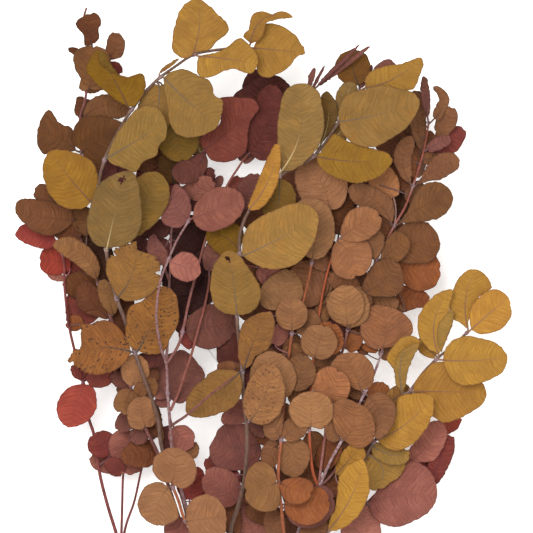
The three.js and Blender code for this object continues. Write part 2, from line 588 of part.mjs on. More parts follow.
      leaf("brown", [16, 126], [26, 140], 9, 9, 0.5, 52),
      leaf("brown", [16, 133], [26, 146], 7, 7, 0.5, 47),
    ]),
    pair("", [13, 104], [
      leaf("brown", [6, 105], [-4, 139], 11, 11, 0.5, 56),
    ]),
    pair("", [17, 136], [
      leaf("maroon", [10, 133], [4, 170], 13, 15, 0.5, 41),
      leaf("rose", [6, 142], [13, 157], 5, 6, 0.5, 50),
    ]),
    pair("", [37, 235], [
      leaf("umber", [31, 240], [16, 275], 9, 10, 0.5, 40),
    ]),
    pair("", [27, 173], [
      leaf("tan", [8, 168], [17, 197], [[-2, 171], [-4, 180], [2, 190]],
        [[20, 171], [26, 178], [25, 188]], 0.5, 50),
    ]),
    pair("", [13, 0], [
      leaf("brown", [8, -4], [4, 17], 7, 7, 0.5, 46),
      leaf("brown", [26, -6], [43, 12], 6, 9, 0.5, 43),
    ]),
    pair("", [21, 157], [
      leaf("umber", [2, 164], [-22, 172], 9, 8, 0.5, 34),
    ]),
    pair("", [13, 104], [
      leaf("brown", [16, 104], [34, 104], 8, 7, 0.5, 42),
    ]),
    pair("", [45, 241], [
      leaf("umber", [57, 240], [68, 264], 7, 7, 0.5, 30),
    ]),
    pair("", [11, 69], [
      leaf("umber", [11, 70], [-7, 72], 5, 5, 0.5, 36),
    ]),
  ]),

  branch("burgundy", "pink_bark", [2, 0.8], [-2.5, 12.5], [
    [[-50, -5, 40], [-57, 10, 42], [-66, 40, 46], [-71, 65, 50], [-72, 80, 54], [-74, 105, 58],
     [-75, 127, 61], [-79, 140, 68], [-82, 160, 75], [-81, 178, 77], [-78, 193, 77], [-73, 205, 76],
     [-67, 219, 74], [-57, 236, 70]],
    [[-75, 127, 61], [-74, 145, 56], [-73, 165, 50], [-73, 184, 48], [-72, 205, 46], [-71, 229, 44],
     [-66, 245, 42], [-58, 265, 42], [-47, 287, 44]],
    [[-75, 127, 61], [-66, 141, 56], [-62, 155, 56], [-59, 170, 54], [-55, 186, 52], [-50, 205, 48],
     [-44, 226, 44], [-37, 243, 42], [-30, 260, 42], [-22, 273, 42], [-13, 285, 42], [10, 300, 38],
     [30, 325, 44], [36, 334, 48]],
    [[-72, 92, 56], [-66, 105, 54], [-61, 120, 54], [-56, 135, 52], [-52, 150, 52], [-46, 172, 50],
     [-43, 190, 44], [-42, 205, 42], [-20, 202, 42], [-6, 199, 42]],
    [[-72, 80, 54], [-67, 84, 66], [-61, 88, 73], [-55, 93, 76], [-40, 106, 77], [-24, 118, 76]],
    [[-37, 243, 42], [-26, 239, 44], [-18, 241, 46]],
    [[-73, 190, 48], [-80, 208, 46], [-86, 224, 46]],
  ], [
    pair("rose_oval", [-58, 234], [
      leaf("rose", [-55, 236], [-17, 250],
        [[-54, 244], [-49, 252], [-41, 258], [-31, 259.5], [-22, 257]],
        [[-52, 230], [-43, 226], [-33, 228], [-23, 234], [-17, 243]], 0.5, 73),
      leaf("mauve", [-58, 235], [-68, 262], [[-65, 229], [-73, 230], [-79, 235], [-75, 247]],
        [[-56, 243], [-58, 252], [-62, 258]], 0.5, 61),
    ]),
    pair("rose_disc", [-73, 205], [
      leaf("rose", [-72, 204], [-49, 198], [[-67, 209], [-60, 211], [-52, 207]],
        [[-72, 196], [-65, 190], [-56, 189], [-50, 193]], 0.5, 78),
    ]),
    pair("broad", [-48, 285], [
      leaf("burgundy", [-46, 288], [-8, 324],
        [[-51, 294], [-46, 300], [-36, 306], [-34, 318], [-35, 326], [-22, 327]],
        [[-43, 281], [-33, 278], [-22, 281], [-15, 287], [-14, 300], [-11, 311], [-6, 317]], 0.5, 50),
      leaf("mauve", [-46, 287], [-71, 270], [[-44, 279], [-45, 272], [-51, 265], [-58, 262],
        [-65, 262]], [[-53, 284], [-62, 280], [-69, 276]], 0.5, 52),
    ]),
    pair("", [-14, 283.5], [
      leaf("maroon", [-12, 286], [5, 336], [[-16, 296], [-13, 308], [-7, 318], [-4, 330]],
        [[-4, 281], [4, 283], [9, 296], [12, 310], [12, 325]], 0.5, 47),
    ]),
    pair("middle", [-63, 152], [
      leaf("mauve", [-60, 151], [-22, 158],
        [[-60, 160], [-53, 167], [-44, 172], [-33, 169], [-24, 164]],
        [[-56, 143], [-46, 138], [-37, 139], [-29, 144], [-22, 150]], 0.5, 44),
    ]),
    pair("wide", [-74, 104], [
      leaf("mauve", [-73, 101], [-52, 128], [[-83, 101], [-86, 112], [-83, 124], [-74, 134],
        [-62, 137]], [[-64, 97], [-58, 102], [-53, 110], [-46, 118]], 0.5, 43),
      leaf("rose", [-70, 80], [-56, 64], [[-62, 81], [-55, 76], [-54, 68]],
        [[-74, 74], [-71, 65], [-63, 61]], 0.5, 44),
    ]),
    pair("", [10, 300], [
      leaf("maroon", [-6, 300], [4, 343], [[-16, 312], [-24, 327], [-14, 335], [-6, 341]],
        [[4, 308], [14, 320], [17, 334], [10, 341]], 0.5, 38),
    ]),
    pair("", [35, 332], [
      leaf("mauve", [31, 331], [36, 349], 2.5, 2, 0.6, 53),
      leaf("mauve", [34, 332], [44, 351], 1.5, 1.2, 0.4, 50),
      leaf("mauve", [37, 334], [70, 366], 2, 1.5, 0.5, 68),
      leaf("mauve", [38, 335], [78, 365], 2, 2, 0.5, 67),
    ]),
    pair("", [-80, 208], [
      leaf("mauve", [-85, 224], [-79, 201], [[-80, 217], [-75, 209], [-76, 203]],
        [[-88, 218], [-88, 210], [-84, 204]], 0.5, 58),
      leaf("maroon", [-72, 230], [-94, 227], 7, 6, 0.5, 42),
    ]),
    pair("", [-66, 245], [
      leaf("burgundy", [-71, 245], [-88, 279], [[-85, 250], [-96, 262], [-96, 272]],
        [[-66, 255], [-68, 266], [-77, 275]], 0.5, 38),
      leaf("maroon", [-61, 244], [-46, 261], 8, 8, 0.5, 45),
    ]),
    pair("", [-60, 260], [
      leaf("mustard", [-70, 263], [-72, 289], 9, 8, 0.5, 47),
      leaf("maroon", [-55, 267], [-39, 270], 5, 5, 0.5, 46),
    ]),
    pair("", [-71, 215], [
      leaf("maroon", [-70, 209], [-46, 228], 10, 8, 0.5, 39),
    ]),
    pair("", [-73, 168], [
      leaf("maroon", [-71, 168], [-39, 187], 11, 11, 0.5, 34),
    ]),
    pair("", [-75, 129], [
      leaf("maroon", [-77, 130], [-97, 130], 5, 5, 0.5, 50),
    ]),
    pair("", [-62, 255], [
      leaf("rose", [-56, 251], [-40, 264], [[-62, 259], [-56, 262], [-47, 267]],
        [[-48, 250], [-41, 257]], 0.5, 52),
      leaf("mauve", [-42, 256], [-33, 268], 4, 4, 0.5, 40),
    ]),
    pair("", [-18, 241], [
      leaf("mauve", [-17, 242], [-9, 269], [[-17, 252], [-21, 259], [-15, 266]],
        [[-13, 246], [-7, 258], [-5, 266]], 0.5, 52),
    ]),
    pair("", [-73, 180], [
      leaf("maroon", [-73, 180], [-50, 218], [[-78, 192], [-72, 208], [-62, 218]],
        [[-60, 180], [-50, 190], [-46, 205]], 0.5, 36),
    ]),
    pair("", [-43, 190], [
      leaf("mauve", [-43, 197], [-38, 220], 6, 6, 0.5, 48),
    ]),
    pair("", [-8, 199.5], [
      leaf("rose", [-6, 199], [14, 189], 5, 9, 0.5, 46),
    ]),
    pair("", [-57, 10], [
      leaf("rose", [-62, -8], [-72, 9], [[-70, -7], [-76, 2]], [[-60, 0], [-64, 10]], 0.5, 32),
      leaf("burgundy", [-58, 25], [-54, 49], 10, 9, 0.5, 44),
    ]),
    pair("", [-19, 241], [
      leaf("umber", [-17, 246], [-1, 228], 9, 9, 0.5, 38),
    ]),
    pair("", [-7, 199], [
      leaf("umber", [8, 200], [34, 202], 7, 8, 0.5, 36),
    ]),
    pair("", [-81, 211], [
      leaf("maroon", [-90, 208], [-99, 223], 4, 5, 0.5, 38),
    ]),
    pair("", [-49, 283], [
      leaf("drab", [-48, 283], [-55, 300], 6, 5, 0.5, 38),
    ]),
    pair("", [-11, 200], [
      leaf("umber", [-11, 200], [-2, 182], 6, 7, 0.5, 38),
    ]),
    pair("", [12, 302], [
      leaf("maroon", [8, 304], [-10, 347], 14, 10, 0.5, 32),
    ]),
    pair("", [-72, 203], [
      leaf("burgundy", [-74, 205], [-81, 221], 4, 5, 0.5, 36),
    ]),
    pair("", [-19, 241], [
      leaf("umber", [-20, 246], [-22, 230], 6, 5, 0.5, 38),
    ]),
    pair("", [-43, 188], [
      leaf("maroon", [-44, 189], [-48, 202], 5, 5, 0.5, 34),
    ]),
    pair("", [-71, 220], [
      leaf("maroon", [-64, 220], [-70, 231], 5, 5, 0.5, 34),
    ]),
    pair("", [-30, 203], [
      leaf("maroon", [-30, 200], [-34, 214], 7, 7, 0.5, 36),
    ]),
    pair("", [-51, 279], [
      leaf("umber", [-72, 290], [-96, 273], 6, 6, 0.5, 40),
    ]),
    pair("", [-63, 150], [
      leaf("maroon", [-62, 150], [-66, 168], 5, 5, 0.5, 34),
    ]),
    pair("", [-55, 139], [
      leaf("burgundy", [-56, 139], [-63, 153], 4, 4, 0.5, 36),
    ]),
    pair("", [-42, 231], [
      leaf("maroon", [-52, 235], [-63, 229], 5, 5, 0.5, 36),
    ]),
    pair("", [-9, 200], [
      leaf("umber", [-9, 199], [-21, 209], 4, 4, 0.5, 36),
    ]),
    pair("", [-31, 256], [
      leaf("burgundy", [-23, 253], [-20, 267], 6, 6, 0.5, 34),
    ]),
    pair("", [-69, 54], [
      leaf("brown", [-59, 56], [-55, 68], 5, 5, 0.5, 36),
    ]),
    pair("", [-18, 279], [
      leaf("mauve", [-18, 279], [-10, 291], 6, 5, 0.5, 34),
    ]),
    pair("", [-73, 98], [
      leaf("mauve", [-73, 98], [-83, 101], 4, 4, 0.5, 36),
    ]),
  ]),

  branch("red_left", "red_bark", [1.8, 0.9], [-10, 8.1], [
    [[-110, -15, 14], [-114, 0, 16], [-120, 20, 20], [-126, 45, 24], [-130, 73, 26], [-134, 86, 28],
     [-138, 112, 32], [-144, 135, 34], [-149, 158, 34], [-152, 188, 36], [-152, 200, 38],
     [-154, 213, 40]],
    [[-110, -15, 14], [-109, 20, 16], [-108, 45, 20], [-104, 70, 24], [-99, 78, 26]],
    [[-110, -15, 14], [-106, 5, 14], [-100, 22, 18], [-94, 48, 22], [-90, 60, 26]],
  ], [
    pair("top", [-153.5, 210], [
      leaf("red", [-157, 216], [-189, 224], [[-166, 213], [-178, 216], [-186, 220]],
        [[-160, 224], [-172, 229], [-182, 232]], 0.5, 42),
    ]),
    pair("low", [-138, 112], [
      leaf("red", [-138, 112], [-149, 79], [[-131, 110], [-128, 102], [-128, 93], [-134, 84],
        [-142, 80]], [[-147, 110], [-154, 104], [-158, 94], [-155, 84]], 0.5, 38),
      leaf("burgundy", [-137, 115], [-113, 117], [[-132, 122], [-120, 124]],
        [[-130, 109], [-120, 110]], 0.5, 42),
    ]),
    pair("", [-152, 190], [
      leaf("red", [-148, 199], [-170, 204], [[-157, 195], [-166, 196]],
        [[-150, 207], [-158, 213], [-167, 212]], 0.5, 37),
      leaf("rose", [-151, 191], [-165, 194], 3.5, 3, 0.5, 33),
      leaf("rose", [-151, 191], [-139, 198], 3, 3, 0.5, 33),
    ]),
    pair("", [-149, 158], [
      leaf("burgundy", [-147, 159], [-137, 192], [[-149, 170], [-147, 185]],
        [[-137, 157], [-127, 163], [-129, 178]], 0.5, 29),
      leaf("burgundy", [-149, 157], [-150.5, 171], 1.2, 1.2, 0.5, 38),
    ]),
    pair("", [-137, 108], [
      leaf("burgundy", [-139, 115], [-146, 126], 4, 3, 0.5, 38),
    ]),
    pair("", [-108, 46], [
      leaf("rose", [-116, 50], [-132, 57], [[-118, 45], [-124, 46], [-131, 50]],
        [[-117, 57], [-125, 59]], 0.5, 19),
    ]),
    pair("", [-99, 79], [
      leaf("rose", [-102, 76], [-106, 44], [[-96, 66], [-93, 54], [-96, 47]],
        [[-110, 76], [-117, 70], [-117, 60], [-112, 49]], 0.5, 31),
    ]),
    pair("", [-127, 50], [
      leaf("burgundy", [-118, 59], [-130, 73], [[-126, 57], [-132, 61], [-133, 68]],
        [[-115, 66], [-117, 73], [-123, 75]], 0.5, 31),
    ]),
    pair("", [-90, 58], [
      leaf("umber", [-87, 62], [-109, 57], [[-85, 53], [-94, 50], [-104, 52]],
        [[-88, 68], [-97, 69], [-105, 64]], 0.5, 35),
    ]),
    pair("", [-108, 42], [
      leaf("burgundy", [-109, 44], [-120, 54], 5, 6, 0.5, 34),
    ]),
    pair("", [-148, 155], [
      leaf("rust", [-139, 157], [-150, 158], 5, 5, 0.5, 30),
    ]),
    pair("", [-139, 114], [
      leaf("burgundy", [-136, 114], [-138, 124], 4, 4, 0.5, 34),
    ]),
  ]),

  branch("brown_left", "pink_bark", [1.8, 0.8], [-7.5, 3.7], [
    [[-62, -5, 18], [-66, 10, 20], [-74, 35, 26], [-82, 60, 36], [-91, 79, 42], [-99, 104, 46],
     [-102, 109, 47], [-110, 135, 46], [-117, 162, 46], [-126, 187, 44], [-136, 210, 42],
     [-143, 234, 42], [-142, 262, 42], [-139, 285, 44], [-140, 311, 46], [-136, 325, 46],
     [-134, 345, 46], [-131, 366, 46], [-137, 386, 46], [-135, 394, 47]],
  ], [
    pair("broad", [-139, 285], [
      leaf("brown", [-138, 286], [-106, 306],
        [[-145, 292], [-145, 302], [-139, 311], [-128, 313], [-116, 311]],
        [[-136, 277], [-128, 270], [-121, 272], [-115, 285], [-108, 296]], 0.5, 53),
      leaf("brown", [-143, 287], [-172, 300], [[-150, 285], [-160, 284], [-168, 285], [-172, 292]],
        [[-144, 297], [-146, 304], [-156, 308], [-163, 318], [-169, 311]], 0.5, 47),
    ]),
    pair("long", [-143, 235], [
      leaf("brown", [-144, 235], [-188, 244],
        [[-152, 227], [-163, 223], [-174, 226], [-182, 233], [-187, 239]],
        [[-147, 243], [-158, 248], [-170, 250], [-181, 251], [-186, 249]], 0.5, 53),
    ]),
    pair("tan", [-126, 187], [
      leaf("tan", [-127, 189], [-160, 216], [[-134, 194], [-143, 202], [-152, 208]],
        [[-125, 197], [-128, 208], [-136, 217], [-146, 222], [-155, 221]], 0.5, 53),
    ]),
    pair("", [-132, 364], [
      leaf("umber", [-131, 367], [-132, 389], [[-135, 366], [-136, 374], [-142, 382], [-137, 386]],
        [[-127, 371], [-127, 378], [-125, 384], [-128, 388]], 0.5, 51),
    ]),
    pair("", [-134, 334], [
      leaf("brown", [-133, 334], [-130, 364], [[-139, 333], [-138, 341], [-143, 350], [-143, 359],
        [-138, 363]], [[-122, 334], [-118, 345], [-118, 356], [-121, 361]], 0.5, 51),
      leaf("umber", [-138, 358], [-149, 363], 2, 4, 0.5, 45),
      leaf("brown", [-119, 356], [-113, 375], [[-119, 364], [-117, 372]],
        [[-110, 358], [-107, 366], [-109, 372]], 0.5, 50),
      leaf("burgundy", [-117, 352], [-110, 345], 3.5, 4, 0.5, 46),
    ]),
    pair("", [-140, 309], [
      leaf("umber", [-139, 311], [-141, 328], [[-143, 316], [-142, 323]],
        [[-132, 315], [-130, 323], [-136, 325]], 0.5, 41),
      leaf("brown", [-137, 312], [-104, 315], [[-133, 322], [-125, 327], [-113, 327], [-106, 322]],
        [[-125, 314], [-113, 312]], 0.5, 50),
    ]),
    pair("", [-142.5, 248], [
      leaf("brown", [-158, 248], [-174, 256], [[-165, 248], [-172, 251]], [[-161, 256], [-168, 261]],
        0.5, 45),
    ]),
    pair("", [-136, 210], [
      leaf("brown", [-135, 223], [-145, 244], [[-142, 229], [-147, 237]], [[-130, 232], [-131, 241]],
        0.5, 47),
    ]),
    pair("", [-117, 162], [
      leaf("tan", [-115, 164], [-123, 190], [[-121, 170], [-125, 180]], [[-112, 172], [-116, 184]],
        0.5, 56),
      leaf("umber", [-118, 161], [-140, 186], [[-129, 164], [-139, 169], [-142, 178]],
        [[-122, 172], [-127, 181], [-134, 188]], 0.5, 42),
    ]),
    pair("", [-113, 147], [
      leaf("umber", [-110, 146], [-106, 180], 9, 8, 0.5, 40),
    ]),
    pair("", [-102, 109], [
      leaf("tan", [-100, 111], [-98, 133], 9, 10, 0.5, 54),
      leaf("tan", [-102, 107], [-109, 91], 8, 7.5, 0.5, 55),
      leaf("mauve", [-103, 110], [-115, 120], 5, 4, 0.5, 44),
    ]),
    pair("", [-98, 101], [
      leaf("tan", [-97, 102], [-92, 112], 4, 4, 0.5, 51),
      leaf("tan", [-88, 102], [-86, 116], 4, 4.5, 0.5, 51),
    ]),
    pair("", [-91, 79], [
      leaf("tan", [-91, 80], [-94, 102], [[-99, 79], [-103, 86], [-102, 96]],
        [[-85, 82], [-83, 91], [-87, 99]], 0.5, 60),
      leaf("tan", [-92, 78], [-104, 84], 3, 3, 0.5, 52),
    ]),
    pair("", [-125, 184], [
      leaf("umber", [-119, 188], [-132, 224], 10, 10, 0.5, 40),
    ]),
    pair("", [-140, 222], [
      leaf("umber", [-140, 222], [-160, 231], 7, 6, 0.5, 44),
    ]),
    pair("", [-127, 189], [
      leaf("umber", [-124, 190], [-152, 184], 9, 9, 0.5, 34),
    ]),
    pair("", [-96, 93], [
      leaf("mauve", [-99, 92], [-111, 77], 6, 6, 0.5, 40),
    ]),
    pair("", [-89, 75], [
      leaf("mauve", [-90, 74], [-102, 72], 6, 5, 0.5, 38),
    ]),
    pair("", [-131, 198], [
      leaf("burgundy", [-139, 195], [-153, 203], 6, 5, 0.5, 34),
    ]),
    pair("", [-87, 70], [
      leaf("umber", [-84, 71], [-90, 84], 5, 5, 0.5, 36),
    ]),
    pair("", [-137, 215], [
      leaf("umber", [-136, 215], [-140, 229], 5, 5, 0.5, 38),
    ]),
    pair("", [-106, 123], [
      leaf("maroon", [-106, 123], [-117, 121], 5, 5, 0.5, 34),
    ]),
    pair("", [-135, 335], [
      leaf("brown", [-124, 334], [-137, 332], 3, 3, 0.5, 40),
    ]),
    pair("", [-81, 56], [
      leaf("umber", [-84, 55], [-87, 69], 3, 3, 0.5, 34),
    ]),
    pair("", [-102, 108], [
      leaf("brown", [-103, 109], [-113, 107], 4, 4, 0.5, 38),
    ]),
  ]),

  branch("tan", "orange_bark", [1.7, 1.1], [-7.5, 12.5], [
    [[-55, -5, 50], [-58, 5, 52], [-62, 12, 54], [-66, 25, 57], [-71, 37, 60]],
  ], [
    pair("upper", [-70, 35], [
      leaf("tan", [-71, 38], [-68, 65], [[-80, 40], [-85, 48], [-84, 57], [-77, 63]],
        [[-64, 34], [-56, 37], [-52, 45], [-54, 55], [-60, 62]], 0.5, 66),
      leaf("tan", [-73, 35], [-82, 6], [[-70, 28], [-66, 18], [-66, 12], [-74, 7]],
        [[-80, 39], [-90, 36], [-96, 26], [-95, 16], [-89, 9]], 0.5, 57),
    ]),
    pair("low", [-61, 10], [
      leaf("tan", [-60, 9], [-30, 13], [[-60, 19], [-54, 27], [-45, 30], [-36, 26], [-31, 19]],
        [[-57, 0], [-50, -5], [-40, -6], [-32, -2]], 0.5, 61),
    ]),
  ]),

  branch("rose_right", "red_bark", [1.8, 1.1], [7.5, 3.7], [
    [[58, -20, 14], [65, 0, 20], [76, 21, 22], [90, 35, 22], [103, 48, 22]],
  ], [
    pair("big", [76, 21], [
      leaf("rose", [77, 22], [128, 27], [[83, 32], [92, 44], [104, 53], [116, 52], [125, 43]],
        [[80, 12], [87, 6], [97, 4], [110, 8], [121, 15]], 0.5, 33),
      leaf("mauve", [74, -12], [78, 20], [[60, -8], [56, 2], [64, 12], [72, 19]],
        [[85, -8], [86, 4], [83, 14]], 0.5, 29),
    ]),
    pair("tip", [102, 47], [
      leaf("rose", [104, 50], [131, 84], [[106, 60], [113, 70], [120, 81]],
        [[114, 52], [126, 54], [134, 66], [136, 77]], 0.5, 28),
      leaf("burgundy", [110, 44], [137, 62], [[118, 56], [130, 68]],
        [[120, 42], [130, 45], [136, 53]], 0.5, 19),
    ]),
    pair("", [98, 43], [
      leaf("red", [126, 68], [146, 86], [[130, 80], [138, 86]], [[136, 74], [144, 79]], 0.5, 14),
    ]),
    pair("", [102, 47], [
      leaf("burgundy", [124, 36], [139, 72], 7, 6, 0.5, 26),
    ]),
  ]),

  branch("burgundy_low", "mauve_bark", [1.8, 1], [-2.5, 3.4], [
    [[17, -5, 22], [17, 12, 24], [10, 35, 24], [2, 60, 24], [-5, 72, 26], [-12, 83, 28]],
    [[10, 35, 24], [-8, 25, 30], [-20, 23, 36]],
    [[17, -5, 22], [5, -8, 22], [-4, -9, 22]],
  ], [
    pair("big", [-5, 72], [
      leaf("mauve", [-5, 68], [-40, 70],
        [[-4, 58], [-10, 48], [-24, 47], [-36, 49], [-42, 56], [-43, 65]],
        [[-9, 76], [-18, 82], [-28, 83], [-36, 78]], 0.5, 34),
    ]),
    pair("", [-10, 80], [
      leaf("mauve", [-12, 83], [-1, 73], 5, 4, 0.5, 39),
      leaf("mauve", [-14, 84], [-31, 91], [[-24, 82], [-33, 84]], [[-14, 94], [-18, 99], [-26, 96]],
        0.5, 41),
    ]),
    pair("", [-19, 23], [
      leaf("rose", [-22, 24], [-46, 44], [[-30, 20], [-40, 24], [-47, 34]],
        [[-20, 34], [-25, 44], [-35, 48.5], [-42, 48]], 0.5, 43),
    ]),
    pair("", [-7, 25.5], [
      leaf("mauve", [-8, 28], [-11, 55], 9, 9, 0.5, 27),
    ]),
    pair("", [-3, -9], [
      leaf("rose", [-6, -8], [-20, 22], [[-16, -6], [-26, 5], [-26, 16]],
        [[0, 0], [-4, 12], [-12, 21]], 0.5, 26),
    ]),
    pair("", [16, 14], [
      leaf("umber", [10, 12], [-15, 18], 8, 8, 0.5, 30),
    ]),
    pair("", [11, 33], [
      leaf("umber", [14, 34], [18, 50], 6, 6, 0.5, 30),
    ]),
    pair("", [17, -3], [
      leaf("umber", [18, -3], [18, 17], 7, 7, 0.5, 30),
    ]),
    pair("", [-17, 23], [
      leaf("umber", [-17, 22], [-16, 34], 4, 4, 0.5, 36),
    ]),
  ]),
];

// ---------------------------------------------------------------- outlines

function sideOfWidth(item, width, sign) {
  const along = [item.tip[0] - item.base[0], item.tip[1] - item.base[1]];
  const length = Math.hypot(...along);
  const across = [(-along[1] / length) * sign, (along[0] / length) * sign];
  const points = [];
  for (let k = 1; k <= BLADE_STATIONS; k += 1) {
    const t = (1 - Math.cos((Math.PI * k) / (BLADE_STATIONS + 1))) / 2;
    const s = t ** (Math.log(0.5) / Math.log(item.peak));
    const reach = width * 2 * Math.sqrt(s * (1 - s));
    points.push([item.base[0] + along[0] * t + across[0] * reach,
      item.base[1] + along[1] * t + across[1] * reach]);
  }
  return points;
}

// The rim runs from the base along the right side to the tip, and back along the left.
function outline(item) {
  const left = Array.isArray(item.left) ? item.left : sideOfWidth(item, item.left, 1);
  const right = Array.isArray(item.right) ? item.right : sideOfWidth(item, item.right, -1);
  return [item.base, ...right, item.tip, ...left.slice().reverse()];
}

// A leaf's own frame: u runs along it from base to tip, and v across it to the left.
function measure(item) {
  const rim = outline(item);
  const along = new THREE.Vector2(item.tip[0] - item.base[0], item.tip[1] - item.base[1]);
  const length = along.length();
  along.divideScalar(length);
  const place = ([x, y]) => {
    const dx = x - item.base[0];
    const dy = y - item.base[1];
    return [(dx * along.x + dy * along.y) / length, dy * along.x - dx * along.y];
  };
  const mean = (axis) => rim.reduce((sum, point) => sum + point[axis], 0) / rim.length;
  const heart = item.heart ?? [mean(0), mean(1)];
  const halfWidth = Math.max(...rim.map((point) => Math.abs(place(point)[1])));
  const local = (point) => {
    const [u, v] = place(point);
    return [u, v / halfWidth];
  };
  return { rim, heart, length, halfWidth, rimLocal: rim.map(local), heartLocal: local(heart) };
}

// How a point in the leaf follows its rise, roll, cup and lift, or null outside the leaf.
function follow(shape, x, y) {
  const [cx, cy] = shape.heart;
  const count = shape.rim.length;
  for (let k = 0; k < count; k += 1) {
    const next = (k + 1) % count;
    const ax = shape.rim[k][0] - cx;
    const ay = shape.rim[k][1] - cy;
    const bx = shape.rim[next][0] - cx;
    const by = shape.rim[next][1] - cy;
    const area = ax * by - ay * bx;
    const a = ((x - cx) * by - (y - cy) * bx) / area;
    const b = (ax * (y - cy) - ay * (x - cx)) / area;
    if (a >= 0 && b >= 0 && a + b <= 1) {
      const c = 1 - a - b;
      const mix = (axis) => a * shape.rimLocal[k][axis] + b * shape.rimLocal[next][axis]
        + c * shape.heartLocal[axis];
      return [mix(0), mix(1), -c, 1];
    }
  }
  return null;
}

// ---------------------------------------------------------------- stems

// A main stem runs from its cut end, through the band, to the first point of its route.
function wholeRoute(item, index) {
  const route = item.routes[index].map((point) => new THREE.Vector3(...point));
  if (index > 0) {
    return route;
  }
  const [across, up] = item.slot;
  const half = BAND_STRAIGHT / 2;
  const cut = CUT_Y + CUT_STAGGER * (Math.abs(across) - up / 2);
  return [
    new THREE.Vector3(BAND_X + across * CUT_SPREAD, cut, up),
    new THREE.Vector3(BAND_X + across, BAND_Y - half, up),
    new THREE.Vector3(BAND_X + across, BAND_Y + half, up),
    ...route,
  ];
}

function radiusAlong(item, index, share) {
  const [thick, thin] = item.radii;
  const start = index === 0 ? thick : (thick + thin) / 2;
  return start + (thin - start) * share;
}

function routeShares(route) {
  const shares = [0];
  for (let k = 1; k < route.length; k += 1) {
    shares.push(shares[k - 1] + route[k].distanceTo(route[k - 1]));
  }
  return shares.map((value) => value / shares[shares.length - 1]);
}

// The nearest place on a branch to a point seen from above.
function nearestOnBranch(item, at) {
  let best = null;
  item.routes.forEach((unused, index) => {
    const route = wholeRoute(item, index);
    const shares = routeShares(route);
    for (let k = 0; k + 1 < route.length; k += 1) {
      const a = route[k];
      const b = route[k + 1];
      const dx = b.x - a.x;
      const dy = b.y - a.y;
      const raw = ((at[0] - a.x) * dx + (at[1] - a.y) * dy) / (dx * dx + dy * dy);
      const clear = Math.min(COLLAR_LENGTH / Math.hypot(dx, dy), COLLAR_NEAR_CORNER);
      const t = Math.min(Math.max(raw, clear), 1 - clear);
      const point = a.clone().lerp(b, t);
      const distance = Math.hypot(at[0] - point.x, at[1] - point.y);
      if (best === null || distance < best.distance) {
        const radius = radiusAlong(item, index, shares[k] + (shares[k + 1] - shares[k]) * t);
        best = { distance, point, radius, direction: b.clone().sub(a).normalize() };
      }
    }
  });
  return best;
}

// ---------------------------------------------------------------- how the leaves settle

const leaves = [];
const whorls = [];
for (const item of BRANCHES) {
  item.pairs.forEach((group) => {
    const seat = nearestOnBranch(item, group.at);
    const members = group.leaves.map((entry) => {
      const shape = measure(entry);
      const side = entry.height >= seat.point.z ? 1 : -1;
      const start = seat.point.z + side * (seat.radius + COLLAR_WALL + START_ABOVE_COLLAR);
      const rise = (entry.height - start) / Math.max(shape.heartLocal[0], NEAREST_HEART);
      const most = STEEPEST_WANTED * shape.length;
      const wanted = [Math.min(Math.max(rise, -most), most), entry.roll, CUP_WANTED * shape.length, 0];
      const record = { ...entry, shape, side, start, wanted, now: [...wanted], owner: item, seat };
      leaves.push(record);
      return record;
    });
    whorls.push({ branch: item, group, seat, members });
  });
}

function heightAt(item, ways) {
  return item.start + ways.reduce((sum, way, k) => sum + way * item.now[k], 0);
}

function samples(shape) {
  const points = [shape.heart];
  shape.rim.forEach((point) => {
    for (const ring of SAMPLE_RINGS) {
      const share = ring * JUST_INSIDE;
      points.push([shape.heart[0] + (point[0] - shape.heart[0]) * share,
        shape.heart[1] + (point[1] - shape.heart[1]) * share]);
    }
  });
  return points;
}

function boxOf(points) {
  const xs = points.map((point) => point[0]);
  const ys = points.map((point) => point[1]);
  return [Math.min(...xs), Math.min(...ys), Math.max(...xs), Math.max(...ys)];
}

function boxesMeet(a, b) {
  return a[0] <= b[2] && b[0] <= a[2] && a[1] <= b[3] && b[1] <= a[3];
}

function leafContacts() {
  const contacts = [];
  for (let i = 0; i < leaves.length; i += 1) {
    for (let j = i + 1; j < leaves.length; j += 1) {
      const [a, b] = [leaves[i], leaves[j]];
      if (boxesMeet(boxOf(a.shape.rim), boxOf(b.shape.rim))) {
        const upper = a.height >= b.height ? a : b;
        const lower = upper === a ? b : a;
        for (const [x, y] of [...samples(a.shape), ...samples(b.shape)]) {
          const over = follow(upper.shape, x, y);
          const under = over && follow(lower.shape, x, y);
          if (under) {
            contacts.push({ upper, over, lower, under, air: LEAF_AIR });
          }
        }
      }
    }
  }
  return contacts;
}

function stemContacts() {
  const contacts = [];
  for (const item of BRANCHES) {
    item.routes.forEach((unused, index) => {
      const route = wholeRoute(item, index);
      const shares = routeShares(route);
      for (let k = 0; k + 1 < route.length; k += 1) {
        const steps = Math.ceil(route[k].distanceTo(route[k + 1]) / STEM_SAMPLE_STEP);
        for (let step = 0; step < steps; step += 1) {
          const t = step / steps;
          const point = route[k].clone().lerp(route[k + 1], t);
          const radius = radiusAlong(item, index, shares[k] + (shares[k + 1] - shares[k]) * t);
          for (const other of leaves) {
            const away = Math.hypot(other.base[0] - point.x, other.base[1] - point.y);
            const free = away < FREE_NEAR_BASE && other.owner === item;
            const ways = free ? null : follow(other.shape, point.x, point.y);
            if (ways) {
              const level = point.z;
              const air = radius + STEM_AIR;
              const above = other.height >= level;
              contacts.push(above ? { upper: other, over: ways, level: level + air }
                : { lower: other, under: ways, level: level - air });
            }
          }
        }
      }
    });
  }
  return contacts;
}

function floorContacts() {
  return leaves.flatMap((item) => item.shape.rimLocal.map(([u, v]) => (
    { upper: item, over: [u, v, 0, 1], level: FLOOR_AIR })));
}

